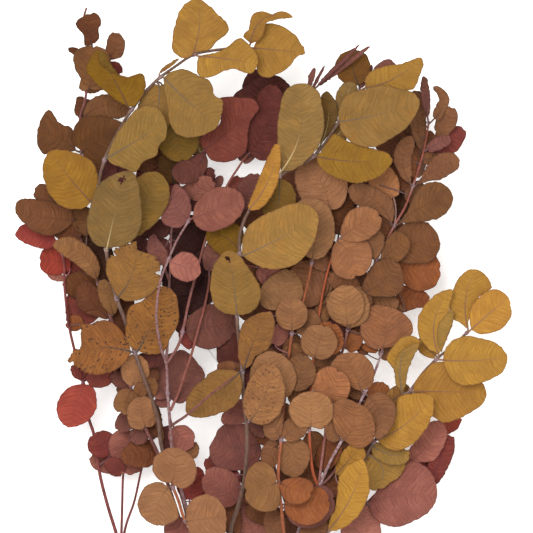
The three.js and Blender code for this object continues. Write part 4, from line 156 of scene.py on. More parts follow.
# Many small umber and maroon leaves fill the back of the bunch where it lies in shade; their dark
# colour is partly painted shade
BRANCHES = [
    branch("olive_left", "grey_bark", (2, 1), (-5, 8.1), """
way -56,-5,32 -60,14,36 -65,32,40 -78,62,44 -82,88,50 -89,109,55 -98,134,58 -104,155,60 -112,176,62
  -118,200,64 -122,235,66 -125,262,68 -121,279,70 -113,296,70 -100,318,70 -83,338,70 -67,350,70
  -54.5,358,70 -41,361,71 -12,364,73
pair tip -14,364
golden -10,363 29,359 | -4,376 0,381 10,380 20,374 26,366 | -8,352 -6,344 0,341 10,344 18,350 22,356
  | 72
golden -12,366 20,385 | -18,372 -13,377 -12,385 -9,389 -3,390 4,388 12,390 | -6,368 -2,374 0,381
  10,384 | 81 -5,384
pair top -54.5,358
golden -55,358 -51,400 | -62,355 -70,361 -70,372 -68,382 -64,392 -58,398 | -50,361 -42,362 -37,368
  -29,374 -29,381 -36,388 -44,396 | 72
golden -51,357 -7,350 | -40,359 -30,363 -20,370 -12,364 -7,357 | -52,349 -50,342 -42,341 -33,345
  -24,347 -16,344 -10,344 | 79
pair broad -79,342
olive -77,341 -37,304 | -70,346 -60,347 -50,342 -42,338 -38,327 -33,324 -34,312 | -76,330 -74,318
  -72,306 -66,298 -56,296 -45,299 | 74
golden -80,344 -65,355 | 2 | 1.2 | 74 0.4
pair folded -101,317
golden -103,319 -126,361 | -112,324 -122,332 -134,345 -133,352 | -98,320 -92,328 -90,337 -93,344
  -101,341 -110,343 -116,350 -121,359 | 76 -108,333
pair wide -121,279
olive -119,281 -75,308 | -113,297 -105,308 -97,317 -88,320 -80,317 | -116,277 -106,273 -98,270
  -92,278 -82,283 -80,290 -75,296 | 75
pair golden -124,250
golden -131,248 -162,286 | -135,244 -145,243 -155,246 -162,254 -166,264 -167,276 | -127,258 -126,268
  -130,278 -140,284 -152,287 | 68
pair middle -119,213
drab -119,214 -104,271 | -127,216 -133,225 -134,234 -131,246 -127,258 -117,267 | -108,215 -98,221
  -93,233 -93,246 -95,260 -98,269 | 77
olive -112,217 -80,270 | 14 | 18 | 65 0.62
pair ragged -112,176
mustard -111,177 -97,219 | -116,186 -120,196 -118,208 -110,217 | -104,174 -92,176 -83,182 -79,193
  -80,205 -85,209 -96,212 | 71
pair spotted -98,135
spotted -96,137 -75,185 | -104,142 -105,155 -102,170 -92,175 -82,184 | -87,134 -77,136 -72,146
  -66,158 -66,172 -69,181 | 64
spotted -101,136 -149,130 | -106,128 -114,122 -128,119 -138,121 -145,126 | -105,146 -112,156
  -122,160 -132,157 -140,158 -139,148 -139,141 -145,138 | 64
at -83,338
olive -80,335 -92,300 | 17 | 9 | 66 0.45
olive -78,336 -63,280 | 16 | 14 | 61 0.65
at -77,60
brown -79,66 -85,98 | -82,75 -86,88 | -77,70 -78,82 -80,92 | 44
at -125,259
maroon -122,261 -115,279 | 6 | 5 | 56
at -77,59
maroon -74,61 -76,80 | 4 | 5 | 40
at -90,112
umber -84,114 -90,127 | 5 | 5 | 44
at -124,254
maroon -104,256 -112,276 | 6 | 6 | 52
at -62,23
burgundy -48,27 -47,37 | 4 | 4 | 28"""),
    branch("olive_centre", "grey_bark", (2, 1), (0, 8.1), """
way -27,0,38 -22,18,46 -17,38,54 -15,60,58 -15,83,62 -17,100,64 -18,121,66 -20,140,66 -22,164,66
  -20,208,68 -20,222,69 -14,240,70 9,267,70 35,282,70 54,308,70 70,332,70
pair tip 70,332
mustard 69,335 62,362 | 14.5 | 12.5 | 63 0.55
golden 73,333 115,356 | 74,341 80,347 90,350 100,351 108,354 | 85,331 98,331 110,333 114,342 117,350
  | 73
pair broad 54,308
olive 54,308 114,322 | 54,318 60,328 72,332 86,335 100,332 110,329 | 57,299 66,291 80,289 92,295
  104,303 111,313 | 79
drab 54,311 64,338 | 8 | 8 | 65 0.6
pair long 36,282
golden 37,282 94,279 | 43,290 50,299 60,294 72,290 84,287 91,284 | 38,277 44,270 54,265 68,262
  80,265 90,272 | 74
drab 40,290 45,331 | 40,300 41,315 40,326 | 47,299 53,310 53,319 50,326 | 67
pair tall 9,267
drab 11,271 23,336 | 9,280 8,300 10,318 14,331 | 20,272 30,279 39,290 43,304 42,318 38,331 30,336
  | 79
olive 10,266 6,232 | 14 | 12 | 62
pair wide -20,209
olive -18,208 38,239 | -18,220 -13,231 -3,238 8,243 20,247 31,246 | -10,202 3,198 18,200 28,207
  34,216 38,228 | 79
golden -20,212 -45,226 | 10 | 16 | 60 0.4
pair pale -22,164
olive -22,164 -28,212 | -31,165 -39,171 -42,182 -41,195 -36,206 | -13,165 -6,172 -4,181 -8,191
  -14,200 -20,208 | 77
pair low -18,121
mustard -20,121 -60,91 | -18,111 -20,102 -26,94 -36,90 -48,87 -56,88 | -28,123 -40,122 -47,116
  -55,109 -60,100 | 68
mustard -17,123 -1,166 | -21,132 -21,145 -18,157 -11,163 | -12,126 -8,133 1,138 5,148 6,160 4,166
  | 71
at -12,242
golden -13,243 8,291 | -9,254 -2,271 3,282 | -6,244 1,251 7,263 9,276 9,285 | 81
at -15,84
mottled -12,85 3,127 | -16,94 -15,106 -11,116 -5,124 | -2,83 7,89 12,100 12,112 9,121 | 71
at -18.5,125
maroon -20,126 -31,149 | -28,124 -35,128 -36,138 | -19,134 -20,146 | 37
at 68,329
mauve 70,333 79,351 | 3 | 3 | 62
mauve 80,338 95,353 | 6 | 5 | 58
at -26,2
umber -24,-4 -28,26 | 6 | 6 | 30
at -18,34
burgundy -23,35 -31,48 | 6 | 6 | 28
at -17,106
maroon -9,106 -16,128 | 6 | 6 | 44
at 44,294
drab 48,291 60,307 | 6 | 6 | 30
at -18,123
umber -17,122 -37,124 | 5 | 5 | 38
at -16,45
burgundy -37,47 -44,56 | 5 | 5 | 30"""),
    branch("golden_right", "grey_bark", (1.7, 0.9), (5, 8.1), """
way 44,-4,34 47,2,36 60,30,42 73,55,46 81,69,46 95,87,46 108,107,48 118,121,49 128,131,50 140,141,50
  152,152,50
pair tip 150,150
golden 151,153 157,198 | 146,157 140,161 137,169 139,180 143,190 150,197 | 152,162 157,174 164,181
  169,184 167,190 163,195 | 52
golden 153,152.5 181,177 | 152,162 153,169 158,176 165,182 173,183 | 160,149.5 168,150 177,154
  183,163 183,171 | 57
pair upper 128,131
golden 129,134 139,183 | 122,138 115,146 113,155 115,165 121,174 130,181 | 132,139 136,148 140,160
  137,169 139,177 | 55
golden 132,130 180,133 | 134,138 140,145 150,148 162,146 173,142 | 134,124 139,115 147,111 158,112
  168,116 177,122 | 58
pair middle 108,107
golden 110,106 165,105 | 111,113 117,121 126,128 138,128 152,120 162,113 | 116,97 124,88 134,83
  144,86 154,91 162,97 | 50
olive 102,105 108,148 | 97,112 95,123 90,131 95,140 102,147 | 104,110 106,122 111,134 115,143 | 55
pair lower 81,69
golden 83,70 124,103 | 88,77 94,83 97,92 99,102 108,105 117,105 | 88,65 97,62 107,65 116,74 122,83
  125,94 | 54
pair front 47,2
golden 46,1 72,56 | 47,9 51,18 53,30 54,42 61,51 | 54,2 64,8 72,18 77,32 76,45 | 60
at 76,61
olive 80,65 107,58 | 4 | 9 | 43
olive 77,58 84,33 | 90,56 103,53 101,45 93,39 | 74,50 75,40 78,34 | 39
at 60,30
golden 52,44 70,65 | 53,50 58,60 64,66 | 60,46 68,53 73,59 | 52
at 98,91
mustard 90,96 108,108 | 7 | 6 | 42
at 46,1
umber 44,2 53,32 | 5 | 5 | 30
at 129,132
golden 127,133 113,144 | 4 | 4 | 40
at 74,57
umber 73,57 78,68 | 6 | 6 | 34"""),
    branch("brown", "pink_bark", (2, 0.9), (2.5, 3.7), """
way 22,-5,36 27,8,40 33,20,43 39,34,46 48,54,50 57,71,52 66,90,50 73,104,52 80,118,50 87,137,48
way 39,34,46 35,45,49 33,60,52 32,79,54 33,100,52 35,131,54 40,168,54 46,197,54 54,221,54
way 39,34,46 45,80,42 52,120,45 58,140,47 61,153,48 71,180,50 82,204,50 96,231,50 104,245,49
  110,261,48 118,287,46 122,309,44
way 39,34,46 50,45,45 60,63,45
way 71,180,50 76,183,42 85,186,38 97,190,35
pair upper 110,261
brown 108,262 109,298 | 103,265 98,272 95,281 97,290 102,296 | 109,270 109,282 111,291 | 51
brown 112,261 145,279 | 117,269 121,277 128,284 137,286 142,284 | 122,264 130,265 136,268 143,273
  | 47
pair fourth 96,231
brown 99,232 140,252 | 104,239 109,249 113,257 121,263 130,263 137,258 | 110,233 122,234 131,237
  137,243 | 52
brown 94,231 61,257 | 90,235 83,240 75,242 66,247 | 96,240 93,252 85,257 73,262 65,262 | 56
pair third 82,204
brown 86,206 129,223 | 90,214 95,224 103,232 114,235 123,231 | 96,203 110,202 124,204 130,214 | 43
brown 85,204 107,220 | 87,214 91,222 98,227 | 93,201 101,205 107,212 | 51
brown 81,205 83,228 | 74,206 68,211 67,219 73,226 | 84,208 88,215 88,223 | 54
pair low_tip 86,134
brown 87,139 86,171 | 80,138 73,144 70,154 72,164 78,170 | 97,140 107,147 110,154 105,163 97,168
  | 52
rust 84,137 71,141 | 3.5 | 3 | 44
pair low_upper 73,104
brown 71,107 57,135 | 62,110 54,115 48,123 50,130 | 78,110 81,118 79,127 72,134 65,136 | 58
brown 76,103 83,71 | 85,106 93,102 97,94 95,82 89,74 | 73,96 72,86 76,77 | 59
pair low_discs 57,71
brown 58,70 61,101 | 52,76 49,86 49,96 54,101 | 64,65 73,64 80,71 81,83 76,93 68,98 | 66
brown 55,70 43,78 | 50,68 45,71 | 55,80 50,86 44,84 | 61
pair middle_low 32,79
tan 33,80 32,107 | 24,80 18,87 17,96 22,103 | 41,78 48,84 50,93 47,102 40,106 | 71
brown 33,77 40,52 | 9 | 9 | 36
pair stack 61,153
tan 61,156 58,186 | 14.5 | 14 | 63
tan 63,154 63,185 | 15 | 14.5 | 57
at 122,308
mauve 121,311 118,343 | 3.5 | 3.5 | 46 0.6
brown 126,311 125,335 | 126,314 129,321 131,325 129,330 | 129,310 132,315 135,321 136,327 133,331
  | 47 132.5,326
at 118,287
brown 121,289 139,319 | 125.5,296 128.5,300.5 127,304 128,309 132,315 | 128,292 136,300 141,307
  142,314 | 45 133,306
burgundy 120,287 148,303 | 126,293 133,299 140,304 | 130,287 140,286 146,293 149,299 | 41
brown 117,288 113,332 | 7 | 4 | 38 0.6
mauve 121,288 138,296 | 4 | 3 | 50
umber 118,289 121,302 | 5 | 6 | 34
at 96,231
brown 95,252 82,275 | 10 | 9 | 45
umber 96,233 104,262 | 8 | 7 | 26
umber 90,234 84,262 | 8 | 9 | 34
at 112,266
umber 112,267 115,299 | 5 | 6 | 34
at 71,180
brown 72,180 97,203 | 75,190 80,200 88,204 | 84,179 95,179 101,184 101,193 | 54
brown 73,178 99,172 | 4 | 6 | 45
brown 69,182 47,192 | 6 | 8 | 44
at 97,190
rust 98,199 130,198 | 104,208 115,213 125,209 | 102,190 110,184 119,183 127,188 | 37
rust 97,177 122,174 | 103,184 112,183 119,179 | 102,167 112,170 119,171 | 33
at 61,153
rust 60,138 68,151 | 5 | 7 | 44
brown 64,156 72,184 | 10 | 10 | 51
at 73,104
rust 75,105 92,106 | 6.5 | 4 | 44
brown 72,103 60,111 | 5 | 4 | 44
at 54,221
brown 56,222 84,238 | 58,231 63,240 71,244 79,242 | 64,219.5 74,221 82,227 85,234 | 60
brown 53,219 67,193 | 62,220 74,218 78,208 75,198 | 50,211 50,201 54,194 60,192 | 58
umber 54,224 59,252 | 8 | 8 | 38
at 46,197
brown 43,198 26,172 | 46,190 44,180 37,172 | 34,203 24,202 18,193 19,180 | 49
tan 46,197 38,171 | 48,190 47,181 44,174 | 42,190 38,180 | 44
brown 45,198 34,211 | 5 | 6 | 50
at 38,153
maroon 43,150 66,168 | 11 | 11 | 38
at 36,27
umber 42,25 54,44 | 7 | 7 | 38
at 57,70
brown 54,67 56,49 | 7 | 6 | 37
at 35,131
tan 36,132 43,155 | 13 | 12.5 | 66
rust 40,134 49,157 | 11 | 12 | 60
at 33,104
brown 35,107 53,122 | 36,115 41,122 48,124 | 45,100 56,99 61,107 60,116 | 60
at 115,277
umber 110,279 83,304 | 11 | 11 | 34
at 35,124
brown 37,124 58,131 | 10 | 10 | 42
at 37,29
umber 27,33 35,54 | 9 | 8 | 34
at 109,259
umber 109,260 90,276 | 9 | 9 | 30
at 89,218
umber 84,221 94,237 | 7 | 7 | 36
at 41,48
umber 41,48 53,72 | 8 | 7 | 38
at 116,281
brown 118,280 133,284 | 5 | 5 | 38
at 72,180
brown 66,181 73,197 | 5 | 4 | 40
at 39,158
brown 40,158 45,176 | 5 | 5 | 40
at 40,164
umber 41,165 29,172 | 5 | 5 | 36
at 106,249
brown 106,249 118,262 | 6 | 5 | 38
at 48,204
umber 51,203 46,220 | 5 | 5 | 40
at 48,42
umber 47,43 50,56 | 6 | 5 | 34
at 85,133
brown 86,132.5 95,139 | 5 | 5 | 38
at 71,100
umber 76,97 56,104 | 6 | 6 | 36
at 61,152
umber 72,149 62,157 | 6 | 6 | 36
at 120,296
umber 112,297 99,304 | 5 | 5 | 34
at 45,192
umber 49,191 49,205 | 5 | 5 | 36
at 34,112
brown 35,112 38,127 | 4 | 4 | 38
at 59,61
umber 63,63 55,71 | 4 | 4 | 38
at 85,131
umber 76,134 67,143 | 4 | 4 | 36
at 107,252
umber 81,262 70,263 | 4 | 4 | 36
at 42,179
umber 46,178 51,188 | 4 | 4 | 36
at 98,235
umber 102,233 94,226 | 4 | 4 | 36
at 95,189
brown 103,166 95,171 | 4 | 4 | 38"""),
    branch("orange", "orange_bark", (1.7, 0.9), (2.5, 12.5), """
way 14,-5,50 13,0,52 11,20,58 9,38,60 9,50,60 11,71,58 13,99,56 15,120,54 18,143,56 20,155,58
  27,173,58 31,188,58 34,204,58 37,225,56 46,243,54
pair upper 34,204
tan 34,205 30,251 | 24,212 20,225 20,240 24,249 | 42,207 50,218 51,231 47,244 39,250 | 63
pair discs 18,150
tan 19,152 18,177 | 12 | 12.5 | 66
brown 23,150 33,168 | 22,158 26,166 | 30,147 39,151 41,159 38,165 | 55
pair big 12.5,99.5
tan 10,101 2,137 | -2,101 -11,108 -13,119 -9,130 -4,135 | 17,103 22,112 22,121 17,130 10,135 | 62
brown 14,98 16,80 | 5 | 4 | 49
pair hanging 10.5,69
brown 12,69 20,42 | 25,71 32,64 32,54 27,45 | 10,58 11,47 | 55
brown 9,69 0,46 | 9,60 7,50 | 2,70 -4,62 -4,54 | 53
at 44,240
tan 47,243 28,277 | 37,249 27,252 23,262 23,271 | 55,246 59,255 59,264 50,275 38,283 | 56
at 9,40
tan 7,38 -15,33 | 9,29 7,20 -1,18 -9,21 -14,26 | 5,46 0,52 -6,53 -13,47 -15,40 | 67
rust 11,38 33,31 | 15,40 25,41 33,38 | 13,29 19,24 28,25 | 64
at 11,20
rust 13,22 46,25 | 20,27 30,33 41,33 | 16,15 24,9 34,8 43,14 | 58
mauve 14,19 50,26 | 30,32 44,34 | 20,9 33,5 44,10 49,18 | 51
at 11,71
brown 10,73 1,90 | 4,71 -1,76 -1,84 | 11,82 10,92 | 61
brown 13,72 28,83 | 13,79 18,86 26,87 | 20,70 27,74 30,79 | 61
at 14,112
brown 20,108 27,133 | 9 | 12 | 59
brown 16,126 26,140 | 9 | 9 | 52
brown 16,133 26,146 | 7 | 7 | 47
at 13,104
brown 6,105 -4,139 | 11 | 11 | 56
at 17,136
maroon 10,133 4,170 | 13 | 15 | 41
rose 6,142 13,157 | 5 | 6 | 50
at 37,235
umber 31,240 16,275 | 9 | 10 | 40
at 27,173
tan 8,168 17,197 | -2,171 -4,180 2,190 | 20,171 26,178 25,188 | 50
at 13,0
brown 8,-4 4,17 | 7 | 7 | 46
brown 26,-6 43,12 | 6 | 9 | 43
at 21,157
umber 2,164 -22,172 | 9 | 8 | 34
at 13,104
brown 16,104 34,104 | 8 | 7 | 42
at 45,241
umber 57,240 68,264 | 7 | 7 | 30
at 11,69
umber 11,70 -7,72 | 5 | 5 | 36"""),
    branch("burgundy", "pink_bark", (2, 0.8), (-2.5, 12.5), """
way -50,-5,40 -57,10,42 -66,40,46 -71,65,50 -72,80,54 -74,105,58 -75,127,61 -79,140,68 -82,160,75
  -81,178,77 -78,193,77 -73,205,76 -67,219,74 -57,236,70
way -75,127,61 -74,145,56 -73,165,50 -73,184,48 -72,205,46 -71,229,44 -66,245,42 -58,265,42
  -47,287,44
way -75,127,61 -66,141,56 -62,155,56 -59,170,54 -55,186,52 -50,205,48 -44,226,44 -37,243,42
  -30,260,42 -22,273,42 -13,285,42 10,300,38 30,325,44 36,334,48
way -72,92,56 -66,105,54 -61,120,54 -56,135,52 -52,150,52 -46,172,50 -43,190,44 -42,205,42
  -20,202,42 -6,199,42
way -72,80,54 -67,84,66 -61,88,73 -55,93,76 -40,106,77 -24,118,76
way -37,243,42 -26,239,44 -18,241,46
way -73,190,48 -80,208,46 -86,224,46
pair rose_oval -58,234
rose -55,236 -17,250 | -54,244 -49,252 -41,258 -31,259.5 -22,257 | -52,230 -43,226 -33,228 -23,234
  -17,243 | 73
mauve -58,235 -68,262 | -65,229 -73,230 -79,235 -75,247 | -56,243 -58,252 -62,258 | 61
pair rose_disc -73,205
rose -72,204 -49,198 | -67,209 -60,211 -52,207 | -72,196 -65,190 -56,189 -50,193 | 78
pair broad -48,285
burgundy -46,288 -8,324 | -51,294 -46,300 -36,306 -34,318 -35,326 -22,327 | -43,281 -33,278 -22,281
  -15,287 -14,300 -11,311 -6,317 | 50
mauve -46,287 -71,270 | -44,279 -45,272 -51,265 -58,262 -65,262 | -53,284 -62,280 -69,276 | 52
at -14,283.5
maroon -12,286 5,336 | -16,296 -13,308 -7,318 -4,330 | -4,281 4,283 9,296 12,310 12,325 | 47
pair middle -63,152
mauve -60,151 -22,158 | -60,160 -53,167 -44,172 -33,169 -24,164 | -56,143 -46,138 -37,139 -29,144
  -22,150 | 44
pair wide -74,104
mauve -73,101 -52,128 | -83,101 -86,112 -83,124 -74,134 -62,137 | -64,97 -58,102 -53,110 -46,118
  | 43
rose -70,80 -56,64 | -62,81 -55,76 -54,68 | -74,74 -71,65 -63,61 | 44
at 10,300
maroon -6,300 4,343 | -16,312 -24,327 -14,335 -6,341 | 4,308 14,320 17,334 10,341 | 38
at 35,332
mauve 31,331 36,349 | 2.5 | 2 | 53 0.6
mauve 34,332 44,351 | 1.5 | 1.2 | 50 0.4
mauve 37,334 70,366 | 2 | 1.5 | 68
mauve 38,335 78,365 | 2 | 2 | 67
at -80,208
mauve -85,224 -79,201 | -80,217 -75,209 -76,203 | -88,218 -88,210 -84,204 | 58
maroon -72,230 -94,227 | 7 | 6 | 42
at -66,245
burgundy -71,245 -88,279 | -85,250 -96,262 -96,272 | -66,255 -68,266 -77,275 | 38
maroon -61,244 -46,261 | 8 | 8 | 45
at -60,260
mustard -70,263 -72,289 | 9 | 8 | 47
maroon -55,267 -39,270 | 5 | 5 | 46
at -71,215
maroon -70,209 -46,228 | 10 | 8 | 39
at -73,168
maroon -71,168 -39,187 | 11 | 11 | 34
at -75,129
maroon -77,130 -97,130 | 5 | 5 | 50
at -62,255
rose -56,251 -40,264 | -62,259 -56,262 -47,267 | -48,250 -41,257 | 52
mauve -42,256 -33,268 | 4 | 4 | 40
at -18,241
mauve -17,242 -9,269 | -17,252 -21,259 -15,266 | -13,246 -7,258 -5,266 | 52
at -73,180
maroon -73,180 -50,218 | -78,192 -72,208 -62,218 | -60,180 -50,190 -46,205 | 36
at -43,190
mauve -43,197 -38,220 | 6 | 6 | 48
at -8,199.5
rose -6,199 14,189 | 5 | 9 | 46
at -57,10
rose -62,-8 -72,9 | -70,-7 -76,2 | -60,0 -64,10 | 32
burgundy -58,25 -54,49 | 10 | 9 | 44
at -19,241
umber -17,246 -1,228 | 9 | 9 | 38
at -7,199
umber 8,200 34,202 | 7 | 8 | 36
at -81,211
maroon -90,208 -99,223 | 4 | 5 | 38
at -49,283
drab -48,283 -55,300 | 6 | 5 | 38
at -11,200
umber -11,200 -2,182 | 6 | 7 | 38
at 12,302
maroon 8,304 -10,347 | 14 | 10 | 32
at -72,203
burgundy -74,205 -81,221 | 4 | 5 | 36
at -19,241
umber -20,246 -22,230 | 6 | 5 | 38
at -43,188
maroon -44,189 -48,202 | 5 | 5 | 34
at -71,220
maroon -64,220 -70,231 | 5 | 5 | 34
at -30,203
maroon -30,200 -34,214 | 7 | 7 | 36
at -51,279
umber -72,290 -96,273 | 6 | 6 | 40
at -63,150
maroon -62,150 -66,168 | 5 | 5 | 34
at -55,139
burgundy -56,139 -63,153 | 4 | 4 | 36
at -42,231
maroon -52,235 -63,229 | 5 | 5 | 36
at -9,200
umber -9,199 -21,209 | 4 | 4 | 36
at -31,256
burgundy -23,253 -20,267 | 6 | 6 | 34
at -69,54
brown -59,56 -55,68 | 5 | 5 | 36
at -18,279
mauve -18,279 -10,291 | 6 | 5 | 34
at -73,98
mauve -73,98 -83,101 | 4 | 4 | 36"""),
    branch("red_left", "red_bark", (1.8, 0.9), (-10, 8.1), """
way -110,-15,14 -114,0,16 -120,20,20 -126,45,24 -130,73,26 -134,86,28 -138,112,32 -144,135,34
  -149,158,34 -152,188,36 -152,200,38 -154,213,40
way -110,-15,14 -109,20,16 -108,45,20 -104,70,24 -99,78,26
way -110,-15,14 -106,5,14 -100,22,18 -94,48,22 -90,60,26
pair top -153.5,210
red -157,216 -189,224 | -166,213 -178,216 -186,220 | -160,224 -172,229 -182,232 | 42
pair low -138,112
red -138,112 -149,79 | -131,110 -128,102 -128,93 -134,84 -142,80 | -147,110 -154,104 -158,94 -155,84
  | 38
burgundy -137,115 -113,117 | -132,122 -120,124 | -130,109 -120,110 | 42
at -152,190
red -148,199 -170,204 | -157,195 -166,196 | -150,207 -158,213 -167,212 | 37
rose -151,191 -165,194 | 3.5 | 3 | 33
rose -151,191 -139,198 | 3 | 3 | 33
at -149,158
burgundy -147,159 -137,192 | -149,170 -147,185 | -137,157 -127,163 -129,178 | 29
burgundy -149,157 -150.5,171 | 1.2 | 1.2 | 38
at -137,108
burgundy -139,115 -146,126 | 4 | 3 | 38
at -108,46
rose -116,50 -132,57 | -118,45 -124,46 -131,50 | -117,57 -125,59 | 19
at -99,79
rose -102,76 -106,44 | -96,66 -93,54 -96,47 | -110,76 -117,70 -117,60 -112,49 | 31
at -127,50
burgundy -118,59 -130,73 | -126,57 -132,61 -133,68 | -115,66 -117,73 -123,75 | 31
at -90,58
umber -87,62 -109,57 | -85,53 -94,50 -104,52 | -88,68 -97,69 -105,64 | 35
at -108,42
burgundy -109,44 -120,54 | 5 | 6 | 34
at -148,155
rust -139,157 -150,158 | 5 | 5 | 30
at -139,114
burgundy -136,114 -138,124 | 4 | 4 | 34"""),
    branch("brown_left", "pink_bark", (1.8, 0.8), (-7.5, 3.7), """
way -62,-5,18 -66,10,20 -74,35,26 -82,60,36 -91,79,42 -99,104,46 -102,109,47 -110,135,46 -117,162,46
  -126,187,44 -136,210,42 -143,234,42 -142,262,42 -139,285,44 -140,311,46 -136,325,46 -134,345,46
  -131,366,46 -137,386,46 -135,394,47
pair broad -139,285
brown -138,286 -106,306 | -145,292 -145,302 -139,311 -128,313 -116,311 | -136,277 -128,270 -121,272
  -115,285 -108,296 | 53
brown -143,287 -172,300 | -150,285 -160,284 -168,285 -172,292 | -144,297 -146,304 -156,308 -163,318
  -169,311 | 47
pair long -143,235
brown -144,235 -188,244 | -152,227 -163,223 -174,226 -182,233 -187,239 | -147,243 -158,248 -170,250
  -181,251 -186,249 | 53
pair tan -126,187
tan -127,189 -160,216 | -134,194 -143,202 -152,208 | -125,197 -128,208 -136,217 -146,222 -155,221
  | 53
at -132,364
umber -131,367 -132,389 | -135,366 -136,374 -142,382 -137,386 | -127,371 -127,378 -125,384 -128,388
  | 51
at -134,334
brown -133,334 -130,364 | -139,333 -138,341 -143,350 -143,359 -138,363 | -122,334 -118,345 -118,356
  -121,361 | 51
umber -138,358 -149,363 | 2 | 4 | 45
brown -119,356 -113,375 | -119,364 -117,372 | -110,358 -107,366 -109,372 | 50
burgundy -117,352 -110,345 | 3.5 | 4 | 46
at -140,309
umber -139,311 -141,328 | -143,316 -142,323 | -132,315 -130,323 -136,325 | 41
brown -137,312 -104,315 | -133,322 -125,327 -113,327 -106,322 | -125,314 -113,312 | 50
at -142.5,248
brown -158,248 -174,256 | -165,248 -172,251 | -161,256 -168,261 | 45
at -136,210
brown -135,223 -145,244 | -142,229 -147,237 | -130,232 -131,241 | 47
at -117,162
tan -115,164 -123,190 | -121,170 -125,180 | -112,172 -116,184 | 56
umber -118,161 -140,186 | -129,164 -139,169 -142,178 | -122,172 -127,181 -134,188 | 42
at -113,147
umber -110,146 -106,180 | 9 | 8 | 40
at -102,109
tan -100,111 -98,133 | 9 | 10 | 54
tan -102,107 -109,91 | 8 | 7.5 | 55
mauve -103,110 -115,120 | 5 | 4 | 44
at -98,101
tan -97,102 -92,112 | 4 | 4 | 51
tan -88,102 -86,116 | 4 | 4.5 | 51
at -91,79
tan -91,80 -94,102 | -99,79 -103,86 -102,96 | -85,82 -83,91 -87,99 | 60
tan -92,78 -104,84 | 3 | 3 | 52
at -125,184
umber -119,188 -132,224 | 10 | 10 | 40
at -140,222
umber -140,222 -160,231 | 7 | 6 | 44
at -127,189
umber -124,190 -152,184 | 9 | 9 | 34
at -96,93
mauve -99,92 -111,77 | 6 | 6 | 40
at -89,75
mauve -90,74 -102,72 | 6 | 5 | 38
at -131,198
burgundy -139,195 -153,203 | 6 | 5 | 34
at -87,70
umber -84,71 -90,84 | 5 | 5 | 36
at -137,215
umber -136,215 -140,229 | 5 | 5 | 38
at -106,123
maroon -106,123 -117,121 | 5 | 5 | 34
at -135,335
brown -124,334 -137,332 | 3 | 3 | 40
at -81,56
umber -84,55 -87,69 | 3 | 3 | 34
at -102,108
brown -103,109 -113,107 | 4 | 4 | 38"""),
    branch("tan", "orange_bark", (1.7, 1.1), (-7.5, 12.5), """
way -55,-5,50 -58,5,52 -62,12,54 -66,25,57 -71,37,60
pair upper -70,35
tan -71,38 -68,65 | -80,40 -85,48 -84,57 -77,63 | -64,34 -56,37 -52,45 -54,55 -60,62 | 66
tan -73,35 -82,6 | -70,28 -66,18 -66,12 -74,7 | -80,39 -90,36 -96,26 -95,16 -89,9 | 57
pair low -61,10
tan -60,9 -30,13 | -60,19 -54,27 -45,30 -36,26 -31,19 | -57,0 -50,-5 -40,-6 -32,-2 | 61"""),
    branch("rose_right", "red_bark", (1.8, 1.1), (7.5, 3.7), """
way 58,-20,14 65,0,20 76,21,22 90,35,22 103,48,22
pair big 76,21
rose 77,22 128,27 | 83,32 92,44 104,53 116,52 125,43 | 80,12 87,6 97,4 110,8 121,15 | 33
mauve 74,-12 78,20 | 60,-8 56,2 64,12 72,19 | 85,-8 86,4 83,14 | 29
pair tip 102,47
rose 104,50 131,84 | 106,60 113,70 120,81 | 114,52 126,54 134,66 136,77 | 28
burgundy 110,44 137,62 | 118,56 130,68 | 120,42 130,45 136,53 | 19
at 98,43
red 126,68 146,86 | 130,80 138,86 | 136,74 144,79 | 14
at 102,47
burgundy 124,36 139,72 | 7 | 6 | 26"""),
    branch("burgundy_low", "mauve_bark", (1.8, 1), (-2.5, 3.4), """
way 17,-5,22 17,12,24 10,35,24 2,60,24 -5,72,26 -12,83,28
way 10,35,24 -8,25,30 -20,23,36
way 17,-5,22 5,-8,22 -4,-9,22
pair big -5,72
mauve -5,68 -40,70 | -4,58 -10,48 -24,47 -36,49 -42,56 -43,65 | -9,76 -18,82 -28,83 -36,78 | 34
at -10,80
mauve -12,83 -1,73 | 5 | 4 | 39
mauve -14,84 -31,91 | -24,82 -33,84 | -14,94 -18,99 -26,96 | 41
at -19,23
rose -22,24 -46,44 | -30,20 -40,24 -47,34 | -20,34 -25,44 -35,48.5 -42,48 | 43
at -7,25.5
mauve -8,28 -11,55 | 9 | 9 | 27
at -3,-9
rose -6,-8 -20,22 | -16,-6 -26,5 -26,16 | 0,0 -4,12 -12,21 | 26
at 16,14
umber 10,12 -15,18 | 8 | 8 | 30
at 11,33
umber 14,34 18,50 | 6 | 6 | 30
at 17,-3
umber 18,-3 18,17 | 7 | 7 | 30
at -17,23
umber -17,22 -16,34 | 4 | 4 | 36"""),
]

# Branches, and then leaves by their base, that are paler or darker than their finish: partly their
# own tone, partly painted shade
BRANCH_SHADES = {"golden_right": 1.18, "brown_left": 0.8}
LEAF_SHADES = {
    # the darkest step is painted shade, on leaves that lie deep in the bunch
    0.32: [(-70, 263), (-71, 168), (-70, 209), (-73, 180), (-119, 188), (96, 233)],
    0.58: [
        (-103, 319), (-20, 212), (-78, 336), (40, 290), (69, 335), (-138, 286), (-143, 287),
        (54, 224), (-46, 287),
    ],
    0.8: [
        (-131, 248), (37, 282), (-55, 236), (-112, 217), (10, 266), (99, 232), (86, 206), (72, 180),
        (85, 204), (7, 38), (-60, 151), (-148, 199),
    ],
    1.2: [
        (-96, 137), (-18, 208), (11, 271), (-101, 136), (87, 139), (12, 69), (-91, 80), (-100, 111),
        (33, 80), (61, 156),
    ],
    1.4: [
        (104, 50), (83, 70), (46, 1), (153, 152.5), (-13, 243), (58, 70), (53, 219), (71, 107),
        (56, 222), (-12, 286), (-87, 62), (41, 48),
    ],
    1.8: [(35, 107), (74, -12), (-14, 84), (-58, 25), (95, 252)],
}
SHADES = {base: shade for shade, bases in LEAF_SHADES.items() for base in bases}

